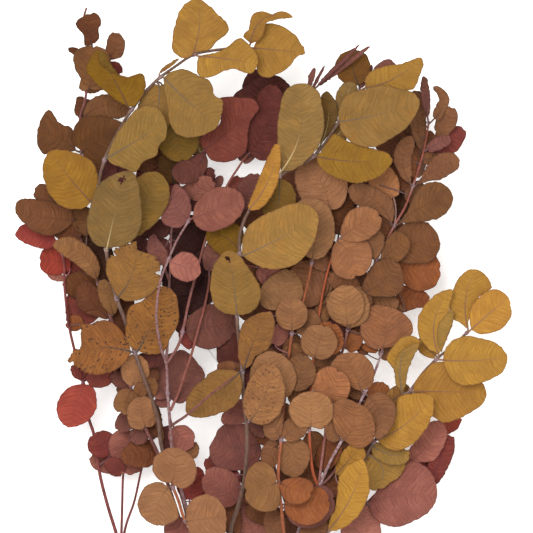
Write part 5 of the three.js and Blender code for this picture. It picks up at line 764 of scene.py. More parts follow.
# Holes that insects left, in leaves of these finishes: centre and radius
HOLED = ("drab", "olive")
HOLES = [([-108, 264], 2.3), ([-106, 265.5], 1.5), ([-29, 206], 1.8), ([-27.6, 204.4], 1.2)]

# The leaves at the back are this much broader all round, which closes the chinks between them, but
# for the slender ones, whose half width is less than this
SPARE_RIM, SLENDER = 1.4, 4

# Rims that insects have eaten: (leaf's base) -> depth of the bites, and the share of the way
# where they start. A bite is an arc, with a sharp tooth between it and the next.
GNAWED = {
    (-111, 177): (5.5, 0.55), (-101, 136): (3.0, 0.6),
    (-79, 124): (1.2, 0.45), (37, 282): (0.6, 0.0),
}
BITE = 3.4

# Rims that curl over and show the leaf's duller back: the leaf's base, and the curled part as a
# leaf's row
CURLED = {
    (129, 134): """olive 131,135.5 139,168 | 128.3,141 127.8,150.4 129.2,157 133.9,163.5
  | 136,149 140.4,162 | 0""",
    (102, 105): """golden 95.9,124.1 115.6,143.8 | 89.8,131.2 94.5,140.1 102,147.1 107.6,148.5
  | 96.8,129.8 101.1,136.3 107.6,141 | 0""",
    (-103, 319): """olive -109.1,341.6 -124.5,361 | -115.9,344.3 -121.9,348.8 -124.6,352
  | -115,349.5 -117.4,353 -118.9,357.6 | 0""",
}
CURL_LIFT = 1.3  # above the leaf, and less over the width of its own rim
CURL_LEAST, CURL_RIM = 0.3, 2.5

# ---------------------------------------------------------------- shapes on paper


def curve_through(points, spans):
    """A smooth line through the points, with no overshoot where they lie unevenly."""
    p = np.asarray(points, float)
    p = np.vstack([2 * p[0] - p[1], p, 2 * p[-1] - p[-2]])
    parts = []
    for a, b, c, d in zip(p, p[1:], p[2:], p[3:]):
        gaps = [max(np.linalg.norm(step), TINY) ** 0.5 for step in (b - a, c - b, d - c)]
        t0, t1, t2, t3 = np.cumsum([0, *gaps])
        s = np.linspace(t1, t2, spans, endpoint=False)[:, None]
        ab = ((t1 - s) * a + (s - t0) * b) / (t1 - t0)
        bc = ((t2 - s) * b + (s - t1) * c) / (t2 - t1)
        cd = ((t3 - s) * c + (s - t2) * d) / (t3 - t2)
        abc = ((t2 - s) * ab + (s - t0) * bc) / (t2 - t0)
        bcd = ((t3 - s) * bc + (s - t1) * cd) / (t3 - t1)
        parts.append(((t2 - s) * abc + (s - t1) * bcd) / (t2 - t1))
    return np.vstack([*parts, p[-2:-1]])


def lengths(line):
    return np.concatenate([[0], np.cumsum(np.linalg.norm(np.diff(line, axis=0), axis=1))])


def spaced(line, shares):
    """Points at these shares of the line's length."""
    way = lengths(line)
    return np.column_stack([np.interp(shares * way[-1], way, axis) for axis in line.T])


def side_of_width(item, width, sign):
    base, tip = np.array(item["base"], float), np.array(item["tip"], float)
    along = tip - base
    across = sign * np.array([-along[1], along[0]]) / np.linalg.norm(along)
    points = []
    for k in range(1, STATIONS + 1):
        t = (1 - math.cos(math.pi * k / (STATIONS + 1))) / 2
        s = t ** (math.log(0.5) / math.log(item["peak"]))
        points.append(base + along * t + across * width * 2 * math.sqrt(s * (1 - s)))
    return points


def measure(item):
    """The leaf's outline, and its own frame: u runs from base to tip, v across it to the left."""
    left, right = item["left"], item["right"]
    left = left if isinstance(left, list) else side_of_width(item, left, 1)
    right = right if isinstance(right, list) else side_of_width(item, right, -1)
    rim = np.array([item["base"], *right, item["tip"], *reversed(left)], float)
    base = rim[0]
    along = np.array(item["tip"], float) - base
    length = np.linalg.norm(along)
    along = along / length
    across = np.array([-along[1], along[0]])
    half = np.abs((rim - base) @ across).max()
    heart = np.array(item["heart"], float) if item["heart"] else rim.mean(0)
    item.update(rim=rim, bend=len(right) + 1, start=base, ahead=along, across=across, half=half)
    item.update(length=length, middle=heart)


def own_frame(item, xy):
    way = xy - item["start"]
    return way @ item["ahead"] / item["length"], way @ item["across"] / item["half"]


# ---------------------------------------------------------------- where the CAD has each leaf


def cad_points(node):
    """A CAD node's corners, in the table's millimetres."""
    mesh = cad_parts[node].data
    co = np.empty(len(mesh.vertices) * 3, np.float32)
    mesh.vertices.foreach_get("co", co)
    return np.unique(np.round(co.reshape(-1, 3) / MM - ORIGIN, 3), axis=0)


def found_at(points, xy):
    return points[np.hypot(*(points[:, :2] - xy).T) < CORNER_NEAR][:, 2]


def read_lie(item, points):
    """How the leaf lies: its height at the base, rise, roll and cup, read off its CAD rim."""
    u, v = own_frame(item, item["rim"])
    rows, heights, unsure = [], [], []
    for k in range(1, len(u)):
        z = found_at(points, item["rim"][k])
        if len(z) and np.ptp(z) < ONE_HEIGHT:
            rows.append([1, u[k], v[k]])
            heights.append(z[0])
        elif len(z):
            unsure.append(([1, u[k], v[k]], z))
    if len(rows) < 3 or np.linalg.matrix_rank(np.array(rows)) < 3:
        item.update(lie=np.array([item["height"], 0.0, 0.0]), cup=USUAL_CUP * item["length"])
        return
    lie = np.linalg.lstsq(np.array(rows), np.array(heights), rcond=None)[0]
    for row, z in unsure:
        rows.append(row)
        heights.append(z[np.abs(z - np.dot(row, lie)).argmin()])
    lie = np.linalg.lstsq(np.array(rows), np.array(heights), rcond=None)[0]
    hu, hv = own_frame(item, item["middle"])
    flat = np.dot([1, hu, hv], lie)
    z = found_at(points, item["middle"])
    z = z[np.abs(z - flat) < MOST_CUP * item["length"] + 1]
    item.update(lie=lie, cup=flat - z.mean() if len(z) else USUAL_CUP * item["length"])


def height_on(item, xy):
    """The height of the leaf's middle surface at points seen from above."""
    rim, heart = item["rim"], item["middle"]
    a, b = rim - heart, np.roll(rim, -1, axis=0) - heart
    area = a[:, 0] * b[:, 1] - a[:, 1] * b[:, 0]
    p = (xy - heart)[:, None, :]
    wa = (p[..., 0] * b[:, 1] - p[..., 1] * b[:, 0]) / area
    wb = (a[:, 0] * p[..., 1] - a[:, 1] * p[..., 0]) / area
    sector = np.minimum(wa, wb).argmax(axis=1)
    rows = np.arange(len(xy))
    far = wa[rows, sector] + wb[rows, sector]
    bowl = 1 - (np.sqrt(far**2 + BOWL**2) - BOWL) / (math.sqrt(1 + BOWL**2) - BOWL)
    u, v = own_frame(item, xy)
    z0, rise, roll = item["lie"]
    bearing = np.arctan2(v * item["half"], (u - 0.5) * item["length"])
    wave = sum(np.sin(item["turns"][k] + (2 + k) * 2 * bearing) for k in range(WAVES))
    wave = wave * min(WAVE, WAVE_SHARE * item["length"]) * 0.5 * np.clip(far, 0, 1.1) ** 3
    return z0 + rise * u + roll * v - item["cup"] * bowl + wave


# ---------------------------------------------------------------- meshes


def placed(name, data):
    """A new object in the scene, at the origin."""
    piece = bpy.data.objects.new(name, data)
    bpy.context.collection.objects.link(piece)
    return piece


class Shape:
    """Vertices, faces and what the materials read on them, gathered from several parts."""

    READS = ("along", "across", "edge", "rib", "seed", "shade")

    def __init__(self):
        self.points, self.faces, self.slots = [], [], []
        self.reads = {name: [] for name in self.READS}
        self.count = 0

    def take(self, points, faces, slot=0, **reads):
        self.points.append(points)
        self.faces += [[i + self.count for i in face] for face in faces]
        self.slots += [slot] * len(faces)
        for name in self.READS:
            value = np.broadcast_to(np.asarray(reads.get(name, 0.0), np.float32), len(points))
            self.reads[name].append(value)
        self.count += len(points)

    def build(self, name, materials):
        mesh = bpy.data.meshes.new(name)
        mesh.from_pydata(((np.vstack(self.points) + ORIGIN) * MM).tolist(), [], self.faces)
        for key, values in self.reads.items():
            layer = mesh.attributes.new(key, "FLOAT", "POINT")
            layer.data.foreach_set("value", np.concatenate(values))
        for material in materials:
            mesh.materials.append(material)
        mesh.polygons.foreach_set("material_index", self.slots)
        mesh.shade_smooth()
        mesh.set_sharp_from_angle(angle=math.radians(LEAF_EDGE))
        mesh.validate()
        return placed(name, mesh)


def ring_frame(line):
    """At each point of a line, the direction ahead and two across it, with the first level."""
    ahead = np.gradient(line, axis=0)
    ahead /= np.linalg.norm(ahead, axis=1)[:, None]
    aside = np.cross(ahead, [0, 0, 1.0])
    flat = np.linalg.norm(aside, axis=1)[:, None]
    aside = np.where(flat > UPRIGHT, aside / np.maximum(flat, TINY), [1.0, 0, 0])
    return ahead, aside, np.cross(aside, ahead)


def rod(line, radii, sides):
    """A closed round rod along a line of points."""
    _, aside, up = ring_frame(line)
    turn = np.arange(sides) * FULL_TURN / sides
    turn = turn[None, :, None]
    ring = aside[:, None] * np.cos(turn) + up[:, None] * np.sin(turn)
    points = (line[:, None] + ring * np.asarray(radii)[:, None, None]).reshape(-1, 3)
    faces = []
    for k in range(len(line) - 1):
        for side in range(sides):
            a, b = k * sides + side, k * sides + (side + 1) % sides
            faces.append([a, a + sides, b + sides, b])
    last = (len(line) - 1) * sides
    faces.append(list(range(sides)))
    faces.append([last + side for side in reversed(range(sides))])
    return points, faces


# ---------------------------------------------------------------- leaves


def rim_sides(item, stations):
    """The left and right side of the rim, each from base to tip at even steps."""
    loop = curve_through([*item["rim"], item["rim"][0]], RIM_SPANS)
    tip = item["bend"] * RIM_SPANS
    shares = np.linspace(0, 1, stations + 1)
    right = spaced(loop[: tip + 1], shares)
    left = spaced(loop[tip:][::-1], shares)
    depth, start = GNAWED.get(tuple(item["base"]), (0, 0))
    for side, sign in ((left, 1), (right, -1)):
        out = np.gradient(side, axis=0)
        out = sign * np.column_stack([-out[:, 1], out[:, 0]])
        out /= np.maximum(np.linalg.norm(out, axis=1), TINY)[:, None]
        uneven = item["spare"] + NICK * item["dice"].standard_normal(stations + 1)
        if depth:
            bites = shares * lengths(side)[-1] / BITE + item["dice"].random()
            deep = item["dice"].random(int(bites[-1]) + 1)[bites.astype(int)]
            uneven -= depth * deep * np.abs(np.sin(math.pi * bites)) * (shares > start)
        uneven[[0, -1]] = 0
        side += out * uneven[:, None]
    return left, right


def midrib(item, left, right):
    """The line of the midrib: from base to tip, with the bow that keeps it between the sides."""
    even = (1 - np.cos(np.linspace(0, math.pi, len(left)))) / 2
    mean = (left + right) / 2 - item["start"]
    even *= 1 - RIB_STRAY
    share = np.clip(mean @ item["ahead"] / item["length"], even, RIB_STRAY + even)
    share = np.maximum.accumulate(np.clip(share, 0, 1))
    hump = 4 * share * (1 - share)
    bow = (mean @ item["across"] * hump).sum() / max((hump**2).sum(), TINY)
    share[[0, -1]] = 0, 1
    straight = item["start"] + np.outer(share * item["length"], item["ahead"])
    return straight + np.outer(hump * bow, item["across"])


def blade(shape, item, slot):
    stations = int(np.clip(item["length"] / ROW_GAP, LEAST_ROWS, MOST_ROWS))
    stations += GNAWED_ROWS if tuple(item["base"]) in GNAWED else 0
    half = int(np.clip(item["half"] / CELL_GAP, LEAST_CELLS, MOST_CELLS))
    left, right = rim_sides(item, stations)
    middle = midrib(item, left, right)
    share = (np.arange(half + 1) / half) ** CROWDING
    rows = slice(1, stations)
    arms = [middle[rows] + (right[rows] - middle[rows]) * q for q in share[:0:-1]]
    arms += [middle[rows] + (left[rows] - middle[rows]) * q for q in share]
    wide = len(arms)
    grid = np.stack(arms, axis=1).reshape(-1, 2)
    xy = np.vstack([middle[:1], grid, middle[-1:]])
    rim = np.vstack([left, right[::-1]])
    edge = np.array([np.hypot(*(rim - p).T).min() for p in xy])
    u = lengths(middle)
    arm_sign = np.concatenate([-share[:0:-1], share])
    reach = [np.linalg.norm(side - middle, axis=1)[rows, None] for side in (left, right)]
    across = np.where(arm_sign > 0, *reach) * arm_sign
    across = np.concatenate([[0], across.ravel(), [0]])
    along = np.concatenate([[0], np.repeat(u[rows], wide), [u[-1]]])

    def at(k, j):
        return 0 if k == 0 else len(xy) - 1 if k == stations else 1 + (k - 1) * wide + j

    faces = []
    holes = [(np.array(spot), size) for spot, size in HOLES]
    for k in range(stations):
        for j in range(wide - 1):
            face = list(dict.fromkeys([at(k, j), at(k + 1, j), at(k + 1, j + 1), at(k, j + 1)]))
            centre = xy[face].mean(0)
            if item["holed"] and any(np.hypot(*(centre - spot)) < size for spot, size in holes):
                continue
            faces.append(face)
    if "host" in item:
        z = height_on(item["host"], xy) + CURL_LIFT * np.clip(edge / CURL_RIM, CURL_LEAST, 1)
    else:
        z = height_on(item, xy)
    thick = RIM + (BLADE - RIM) * np.clip(edge / RIM_WIDTH, 0, 1)
    top = np.column_stack([xy, z + thick / 2])
    bottom = np.column_stack([xy, z - thick / 2])
    count = len(xy)
    border = {}
    for face in faces:
        for a, b in zip(face, face[1:] + face[:1]):
            border[(a, b)] = border.get((a, b), 0) + 1
    walls = [[b, a, a + count, b + count] for a, b in border if (b, a) not in border]
    under = [[i + count for i in reversed(face)] for face in faces]
    reads = dict(along=np.tile(along, 2), across=np.tile(across, 2), edge=np.tile(edge, 2))
    reads.update(seed=item["seed"], shade=item["shade"])
    shape.take(np.vstack([top, bottom]), faces + under + walls, slot, **reads)
    return np.column_stack([middle, height_on(item.get("host", item), middle)])


def curled_rims(host):
    """The parts of a leaf that curl over and lie on it, back up. Most leaves have none."""
    if tuple(host["base"]) in CURLED:
        rim = leaf(CURLED[tuple(host["base"])])
        measure(rim)
        rim.update(host=host, dice=host["dice"], seed=host["seed"], shade=host["shade"])
        rim.update(holed=False, spare=0)
        yield rim


def stalk_and_midrib(shape, item, seat, rib, slot):
    """The stalk leaves the stem and runs on, ever thinner, as the leaf's midrib."""
    base = rib[0]
    ahead = (rib[2] - rib[0]) / np.linalg.norm(rib[2] - rib[0])
    apart = np.linalg.norm(base - seat["point"])
    bend = (base - ahead * apart * STALK_REACH) * STALK_BOW
    bend = (seat["point"] + base) / 2 * (1 - STALK_BOW) + bend
    t = np.linspace(0, 1, max(4, int(apart / STALK_STEP)), endpoint=False)[:, None]
    stalk = (1 - t) ** 2 * seat["point"] + 2 * t * (1 - t) * bend + t**2 * base
    keep = rib[: int(len(rib) * RIB_SHARE)]
    line = np.vstack([stalk, keep])
    thick = min(STALK, STALK_LEAST + STALK_GROWTH * item["length"])
    fall = np.linspace(0, 1, len(keep))
    thin = thick * RIB_START * (1 - fall) ** RIB_TAPER + RIB_END
    radii = np.concatenate([np.full(len(stalk), thick), thin])
    points, faces = rod(line, radii, STALK_SIDES)
    way = np.concatenate([np.full(len(stalk), ON_STALK), fall * item["length"]])
    reads = dict(rib=1.0, along=np.repeat(way, STALK_SIDES), edge=NO_RIM)
    shape.take(points, faces, slot, seed=item["seed"], shade=item["shade"], **reads)


def node_ring(shape, seat, slot):
    """The swelling where a pair of leaves clasps its stem."""
    steps = np.linspace(-1, 1, RING_STEPS)
    line = seat["point"] + np.outer(steps * RING_HALF, seat["ahead"])
    radii = seat["radius"] - RING_SINK + RING_SWELL * np.cos(steps * math.pi / 2) ** 1.5
    points, faces = rod(line, radii, RING_SIDES)
    shape.take(points, faces, slot, rib=1.0, along=ON_RING, edge=NO_RIM, seed=0.5, shade=1.0)


# ---------------------------------------------------------------- stems


def whole_route(item, index):
    way = item["ways"][index]
    if index:
        return np.array(way)
    across, up = item["slot"]
    cut = CUT_Y + CUT_STAGGER * (abs(across) - up / 2)
    low = [[BAND_X + across, BAND_Y + side * BAND_STRAIGHT / 2, up] for side in (-1, 1)]
    return np.array([[BAND_X + across * CUT_SPREAD, cut, up], *low, *way])


def stem_lines(item):
    """Each way of a stem as a smooth line with a radius at every point."""
    lines = []
    thick, thin = item["radii"]
    for index in range(len(item["ways"])):
        smooth = curve_through(whole_route(item, index), STEM_SPANS)
        count = max(4, int(lengths(smooth)[-1] / STEM_STEP))
        line = spaced(smooth, np.linspace(0, 1, count))
        start = thick if index == 0 else (thick + thin) / 2 * FORK_THINNING
        end = thin if index == 0 else thin * FORK_THINNING
        lines.append((line, start + (end - start) * np.linspace(0, 1, count)))
    return lines


def seat_near(item, at):
    """The place on the branch where leaves that grow near this point are seated."""
    best = None
    for line, radii in item["lines"]:
        inner = line[1:-1] if len(line) > 4 else line
        k = np.hypot(*(inner[:, :2] - at).T).argmin() + (1 if len(line) > 4 else 0)
        far = np.hypot(*(line[k, :2] - at))
        if best is None or far < best["far"]:
            ahead = line[min(k + 1, len(line) - 1)] - line[k - 1]
            ahead /= np.linalg.norm(ahead)
            best = dict(far=far, point=line[k], radius=radii[k], ahead=ahead)
    return best


def line_object(name, lines, **reads):
    """Loose lines as an object with what the tree reads: each point's radius, bloom and tone."""
    mesh = bpy.data.meshes.new(name)
    points, edges, radii = [], [], []
    for line, radius in lines:
        first = len(points)
        points += ((line + ORIGIN) * MM).tolist()
        edges += [(first + k, first + k + 1) for k in range(len(line) - 1)]
        radii += list(radius * MM)
    mesh.from_pydata(points, edges, [])
    for key, values in dict(thickness=radii, **reads).items():
        mesh.attributes.new(key, "FLOAT", "POINT").data.foreach_set("value", values)
    return placed(name, mesh)


# ---------------------------------------------------------------- node trees


def add(tree, kind, inputs=None, **settings):
    """Adds a node. Each input is set, or linked to a socket or to a node's first output."""
    node = tree.nodes.new(kind)
    for key, value in settings.items():
        setattr(node, key, value)
    for key, value in (inputs or {}).items():
        value = value.outputs[0] if isinstance(value, bpy.types.Node) else value
        if isinstance(value, bpy.types.NodeSocket):
            tree.links.new(value, node.inputs[key])
        else:
            node.inputs[key].default_value = value
    return node


def new_tree(name, sockets):
    tree = bpy.data.node_groups.new(name, "GeometryNodeTree")
    for label, kind in {"Geometry": "Geometry", **sockets}.items():
        tree.interface.new_socket(label, in_out="INPUT", socket_type="NodeSocket" + kind)
    tree.interface.new_socket("Geometry", in_out="OUTPUT", socket_type="NodeSocketGeometry")
    return tree, add(tree, "NodeGroupInput").outputs


def end_tree(tree, geometry, material):
    real = add(tree, "GeometryNodeRealizeInstances", {0: geometry})
    worn = add(tree, "GeometryNodeSetMaterial", {0: real, "Material": material})
    add(tree, "NodeGroupOutput", {0: worn})
    return tree


def run_tree(source, tree, name, values):
    """Runs a tree on an object and returns the result as a plain mesh object."""
    modifier = source.modifiers.new("build", "NODES")
    modifier.node_group = tree
    for socket in tree.interface.items_tree:
        if socket.in_out == "INPUT" and socket.name in values:
            modifier[socket.identifier] = values[socket.name]
    bpy.context.view_layer.update()
    seen = source.evaluated_get(bpy.context.evaluated_depsgraph_get())
    mesh = bpy.data.meshes.new_from_object(seen)
    mesh.name = name
    mesh.shade_smooth()
    mesh.set_sharp_from_angle(angle=math.radians(STEM_EDGE))
    bpy.data.objects.remove(source)
    return placed(name, mesh)


def stem_tree():
    """Bark swept along the stem's lines, with small warts scattered over it."""
    sizes = {"Sides": "Int", "Wart size": "Float", "Warts per area": "Float", "Seed": "Int"}
    tree, given = new_tree("stem", {**sizes, "Bark": "Material"})
    line = add(tree, "GeometryNodeMeshToCurve", {0: given["Geometry"]})
    thickness = add(tree, "GeometryNodeInputNamedAttribute", {0: "thickness"}, data_type="FLOAT")
    ring = {"Resolution": given["Sides"], "Radius": 1.0}
    ring = add(tree, "GeometryNodeCurvePrimitiveCircle", ring)
    sweep = {"Curve": line, "Profile Curve": ring, "Scale": thickness, "Fill Caps": True}
    skin = add(tree, "GeometryNodeCurveToMesh", sweep)
    scatter = {"Mesh": skin, "Density": given["Warts per area"], "Seed": given["Seed"]}
    spots = add(tree, "GeometryNodeDistributePointsOnFaces", scatter)
    wart = add(tree, "GeometryNodeMeshIcoSphere", {"Radius": given["Wart size"], "Subdivisions": 1})
    flat = add(tree, "GeometryNodeTransform", {0: wart, "Scale": (0.7, 1.6, 0.35)})
    between = {2: 0.5, 3: 1.1, "Seed": given["Seed"]}
    size = add(tree, "FunctionNodeRandomValue", between, data_type="FLOAT")
    seats = {"Points": spots, "Instance": flat, "Rotation": spots.outputs["Rotation"]}
    warts = add(tree, "GeometryNodeInstanceOnPoints", {**seats, "Scale": size.outputs[1]})
    whole = add(tree, "GeometryNodeJoinGeometry", {0: skin})
    tree.links.new(warts.outputs[0], whole.inputs[0])
    return end_tree(tree, whole, given["Bark"])


def band_tree():
    """A flat strip of rubber swept round the bundle."""
    sizes = {"Width": "Float", "Thickness": "Float", "Corner": "Float"}
    tree, given = new_tree("band", {**sizes, "Rubber": "Material"})
    line = add(tree, "GeometryNodeMeshToCurve", {0: given["Geometry"]})
    strip = {"Width": given["Thickness"], "Height": given["Width"]}
    flat = add(tree, "GeometryNodeCurvePrimitiveQuadrilateral", strip)
    rounded = {"Curve": flat, "Count": 3, "Radius": given["Corner"]}
    section = add(tree, "GeometryNodeFilletCurve", rounded, mode="POLY")
    line = add(tree, "GeometryNodeSetCurveNormal", {0: line}, mode="MINIMUM_TWIST")
    sweep = {"Curve": line, "Profile Curve": section, "Fill Caps": True}
    skin = add(tree, "GeometryNodeCurveToMesh", sweep)
    return end_tree(tree, skin, given["Rubber"])


# ---------------------------------------------------------------- finishes


def linear(text):
    """An sRGB hex value as linear colour."""
    parts = [int(text[k : k + 2], 16) / 255 for k in (0, 2, 4)]
    return (*[p / 12.92 if p <= 0.04045 else ((p + 0.055) / 1.055) ** 2.4 for p in parts], 1.0)


def per(size):
    """The scale of a pattern whose features are this many millimetres across."""
    return 1 / (size * MM)


def new_material(name, roughness, specular, ior=1.45):
    """A material, its tree and surface, and where each point is on its object."""
    material = bpy.data.materials.new(name)
    material.use_nodes = True
    tree = material.node_tree
    surface = tree.nodes["Principled BSDF"]
    surface.inputs["Roughness"].default_value = roughness
    surface.inputs["Specular IOR Level"].default_value = specular
    surface.inputs["IOR"].default_value = ior
    return material, tree, surface, add(tree, "ShaderNodeTexCoord").outputs["Object"]


def patches(tree, where, scale, detail, rise, shares, roughness=0.5):
    """Soft patches: the share goes from its first to its second as the noise goes up its rise."""
    noise = {"Vector": where, "Scale": scale, "Detail": detail, "Roughness": roughness}
    noise = add(tree, "ShaderNodeTexNoise", noise)
    return add(tree, "ShaderNodeMapRange", dict(enumerate((noise, *rise, *shares))))


def painted(tree, tone, coats):
    """A colour with others laid over it in turn, each by its share."""
    for share, colour in coats:
        mix = add(tree, "ShaderNodeMix", {0: share, 6: tone, 7: colour}, data_type="RGBA")
        tone = mix.outputs[2]
    return tone


# Dried eucalyptus leaf, kept with glycerine: a matt waxy skin, mottled, with fine veins and a thin
# darker rim. Each has the blade, its darker mottling, warmer patches, veins and midrib, rim.
LEAVES = {
    "golden": ("8D6726", "77511C", "966B21", "64421E", "6C4D38", "5E3B1B"),
    "mustard": ("805727", "65421D", "885C22", "58371D", "4A3E36", "4A2D1A"),
    "olive": ("82602B", "684D21", "885E22", "5A3E1F", "615141", "57391C"),
    "drab": ("77592E", "5D4420", "7F5823", "50371D", "A08A61", "463118"),
    "spotted": ("805121", "5C3615", "84501A", "472914", "3C3834", "452612"),
    "mottled": ("94673C", "6C4627", "9A6935", "56351F", "5E4638", "50311D"),
    "tan": ("8C613E", "704A2E", "926339", "593924", "614130", "543421"),
    "brown": ("794E2F", "5E3A22", "81512B", "482B1D", "5A3C2E", "422819"),
    "rust": ("894F29", "6A3618", "915023", "522A18", "5E3A2E", "4A2613"),
    # umber is a darker brown, mostly for leaves at the back: partly their own colour, partly
    # painted shade
    "umber": ("6C3E23", "4D2914", "714121", "3A1E12", "432D27", "361C0E"),
    "mauve": ("76473C", "5B342C", "7D4839", "452723", "5E3A39", "412321"),
    "burgundy": ("77372C", "5A241E", "813A2A", "461A17", "5E2F2F", "401812"),
    # maroon is a darker burgundy, mostly for leaves at the back: partly their own colour, partly
    # painted shade
    "maroon": ("4E241C", "3C1712", "5D2B20", "2C100E", "462421", "2B0F0C"),
    "rose": ("8C5647", "713E35", "945947", "542C28", "75463F", "552C26"),
    "red": ("923E2F", "732821", "9A422E", "581C18", "7A3630", "5A1C16"),
}
SPOTS = {"spotted": 1.0, "mottled": 0.6, "mustard": 0.3}
SPOILT = "3A2418"
PLEATS = 0.9  # to the mm, across the pleats

# How far from the leaf's base the midrib still differs from the blade, and by how much beyond
RIBS = {
    "golden": (60, 0.5), "mustard": (26, 0.2), "olive": (45, 0.3), "drab": (34, 0.0),
    "spotted": (26, 0.2), "mottled": (20, 0.2), "mauve": (26, 0.3), "burgundy": (30, 0.3),
    "rose": (34, 0.35), "red": (24, 0.3),
}
USUAL_RIB = (11, 0.1)
LEAF_WAX = "7E666A"


def leaf_material(name, colours):
    body, dark, warm, vein, rib, rim = [linear(text) for text in colours]
    material, tree, surface, place = new_material(f"waxy dried leaf, {name}", 0.62, 0.18)
    read = {}
    for key in Shape.READS:
        read[key] = add(tree, "ShaderNodeAttribute", attribute_name=key).outputs["Fac"]

    # cloudy mottling, warmer patches where the leaf is oldest, and specks of oil glands
    cloud = patches(tree, place, per(14), 4, (0.38, 0.68), (0.0, 0.75), 0.6)
    glow = patches(tree, place, per(9), 2, (0.52, 0.72), (0.0, 0.7))
    grain = patches(tree, place, per(0.9), 2, (0.35, 0.7), (0.0, 0.35))

    # side veins leave the midrib at a slant and run to the rim, thin and a little darker
    out = add(tree, "ShaderNodeMath", {0: read["across"]}, operation="ABSOLUTE")
    bow = add(tree, "ShaderNodeMath", {0: out, 1: 0.012, 2: 0.42}, operation="MULTIPLY_ADD")
    slant = add(tree, "ShaderNodeMath", {0: out, 1: bow}, operation="MULTIPLY")
    way = add(tree, "ShaderNodeMath", {0: read["along"], 1: slant}, operation="SUBTRACT")
    stray = add(tree, "ShaderNodeTexNoise", {"Vector": place, "Scale": per(11), "Detail": 2})
    way = add(tree, "ShaderNodeMath", {0: stray, 1: 6.0, 2: way}, operation="MULTIPLY_ADD")
    turn = add(tree, "ShaderNodeMath", {0: way, 1: VEIN_GAP / 2}, operation="PINGPONG")
    line = add(tree, "ShaderNodeMapRange", {0: turn, 1: 0.0, 2: 0.4, 3: 1.0, 4: 0.0})
    clear = patches(tree, place, per(6), 2, (0.35, 0.65), (0.05, VEIN_DEPTH))
    veins = add(tree, "ShaderNodeMath", {0: line, 1: clear}, operation="MULTIPLY")

    # dried skin puckers in fine pleats between the veins, 1 mm wide and a centimetre long; their
    # hollows are painted darker, painted shade in the creases
    pleat = add(tree, "ShaderNodeCombineXYZ", {0: way, 1: out, 2: read["seed"]})
    pleat = add(tree, "ShaderNodeMapping", {"Vector": pleat, "Scale": (1.0, 0.1, 40.0)})
    pleat = patches(tree, pleat, PLEATS, 2, (0.35, 0.7), (0.0, 0.8))
    coats = [(cloud, dark), (glow, warm), (grain, vein), (veins, vein), (pleat, dark)]

    # specks where the leaf has begun to spoil
    if name in SPOTS:
        cells = {"Vector": place, "Scale": per(2.8), "Randomness": 1.0}
        cells = add(tree, "ShaderNodeTexVoronoi", cells)
        some = add(tree, "ShaderNodeMapRange", {0: cells, 1: 0.24, 2: 0.34, 3: 1.0, 4: 0.0})
        where = patches(tree, place, per(8), 1, (0.38, 0.54), (0.0, SPOTS[name]))
        some = add(tree, "ShaderNodeMath", {0: some, 1: where}, operation="MULTIPLY")
        coats.append((some, linear(SPOILT)))

    # the rim is a thin darker line, the stalk and midrib have a colour of their own, and the
    # swelling at the node has the stem's pale bloom
    line = add(tree, "ShaderNodeMapRange", {0: read["edge"], 1: 0.2, 2: 1.0, 3: 0.7, 4: 0.0})
    fades, rest = RIBS.get(name, USUAL_RIB)
    foot = {0: read["along"], 1: fades * 0.3, 2: fades, 3: 1.0, 4: rest}
    foot = add(tree, "ShaderNodeMapRange", foot)
    ribbed = add(tree, "ShaderNodeMath", {0: read["rib"], 1: foot}, operation="MULTIPLY")
    knot = add(tree, "ShaderNodeMapRange", {0: read["along"], 1: -1.8, 2: -0.6, 3: 0.8, 4: 0.0})
    coats += [(line, rim), (ribbed, rib), (knot, linear(LEAF_WAX))]

    # every leaf is a little lighter or darker, and warmer or cooler, than the next; its shade step
    # scales its colour, painted shade where the step is dark, and a darker step is painted deeper
    # in colour too
    light = add(tree, "ShaderNodeMapRange", {0: read["seed"], 1: 0.0, 2: 1.0, 3: 0.93, 4: 1.07})
    light = add(tree, "ShaderNodeMath", {0: light, 1: read["shade"]}, operation="MULTIPLY")
    depth = add(tree, "ShaderNodeMapRange", {0: read["shade"], 1: 0.3, 2: 1.0, 3: 1.14, 4: 1.0})
    hue = add(tree, "ShaderNodeMath", {0: read["seed"], 1: 7.0}, operation="MULTIPLY")
    hue = add(tree, "ShaderNodeMath", {0: hue}, operation="FRACT")
    hue = add(tree, "ShaderNodeMapRange", {0: hue, 1: 0.0, 2: 1.0, 3: 0.496, 4: 0.504})
    own = {"Hue": hue, "Saturation": depth, "Value": light, "Color": painted(tree, body, coats)}
    own = add(tree, "ShaderNodeHueSaturation", own)
    tree.links.new(own.outputs[0], surface.inputs["Base Color"])
    relief = add(tree, "ShaderNodeMath", {0: veins, 1: -1.0, 2: grain}, operation="MULTIPLY_ADD")
    relief = add(tree, "ShaderNodeMath", {0: pleat, 1: -1.0, 2: relief}, operation="MULTIPLY_ADD")
    bump = add(tree, "ShaderNodeBump", {"Height": relief, "Strength": 0.8, "Distance": 0.45 * MM})
    tree.links.new(bump.outputs[0], surface.inputs["Normal"])
    return material


# Thin dry bark: dull, streaked along the stem, with a pale waxy bloom round each node. Each has the
# bark, its streaks and the bloom. Some forks have bark of an orange tone.
BARKS = {
    "grey_bark": ("654A3C", "42312B", "94817A"),
    "pink_bark": ("70423A", "4A2A28", "9A868A"),
    "orange_bark": ("8E4E2E", "5E3220", "9A786A"),
    "red_bark": ("743834", "502424", "8E6C6C"),
    "mauve_bark": ("603C3C", "40282A", "84706F"),
}
ORANGE_BARK = "9A4824"


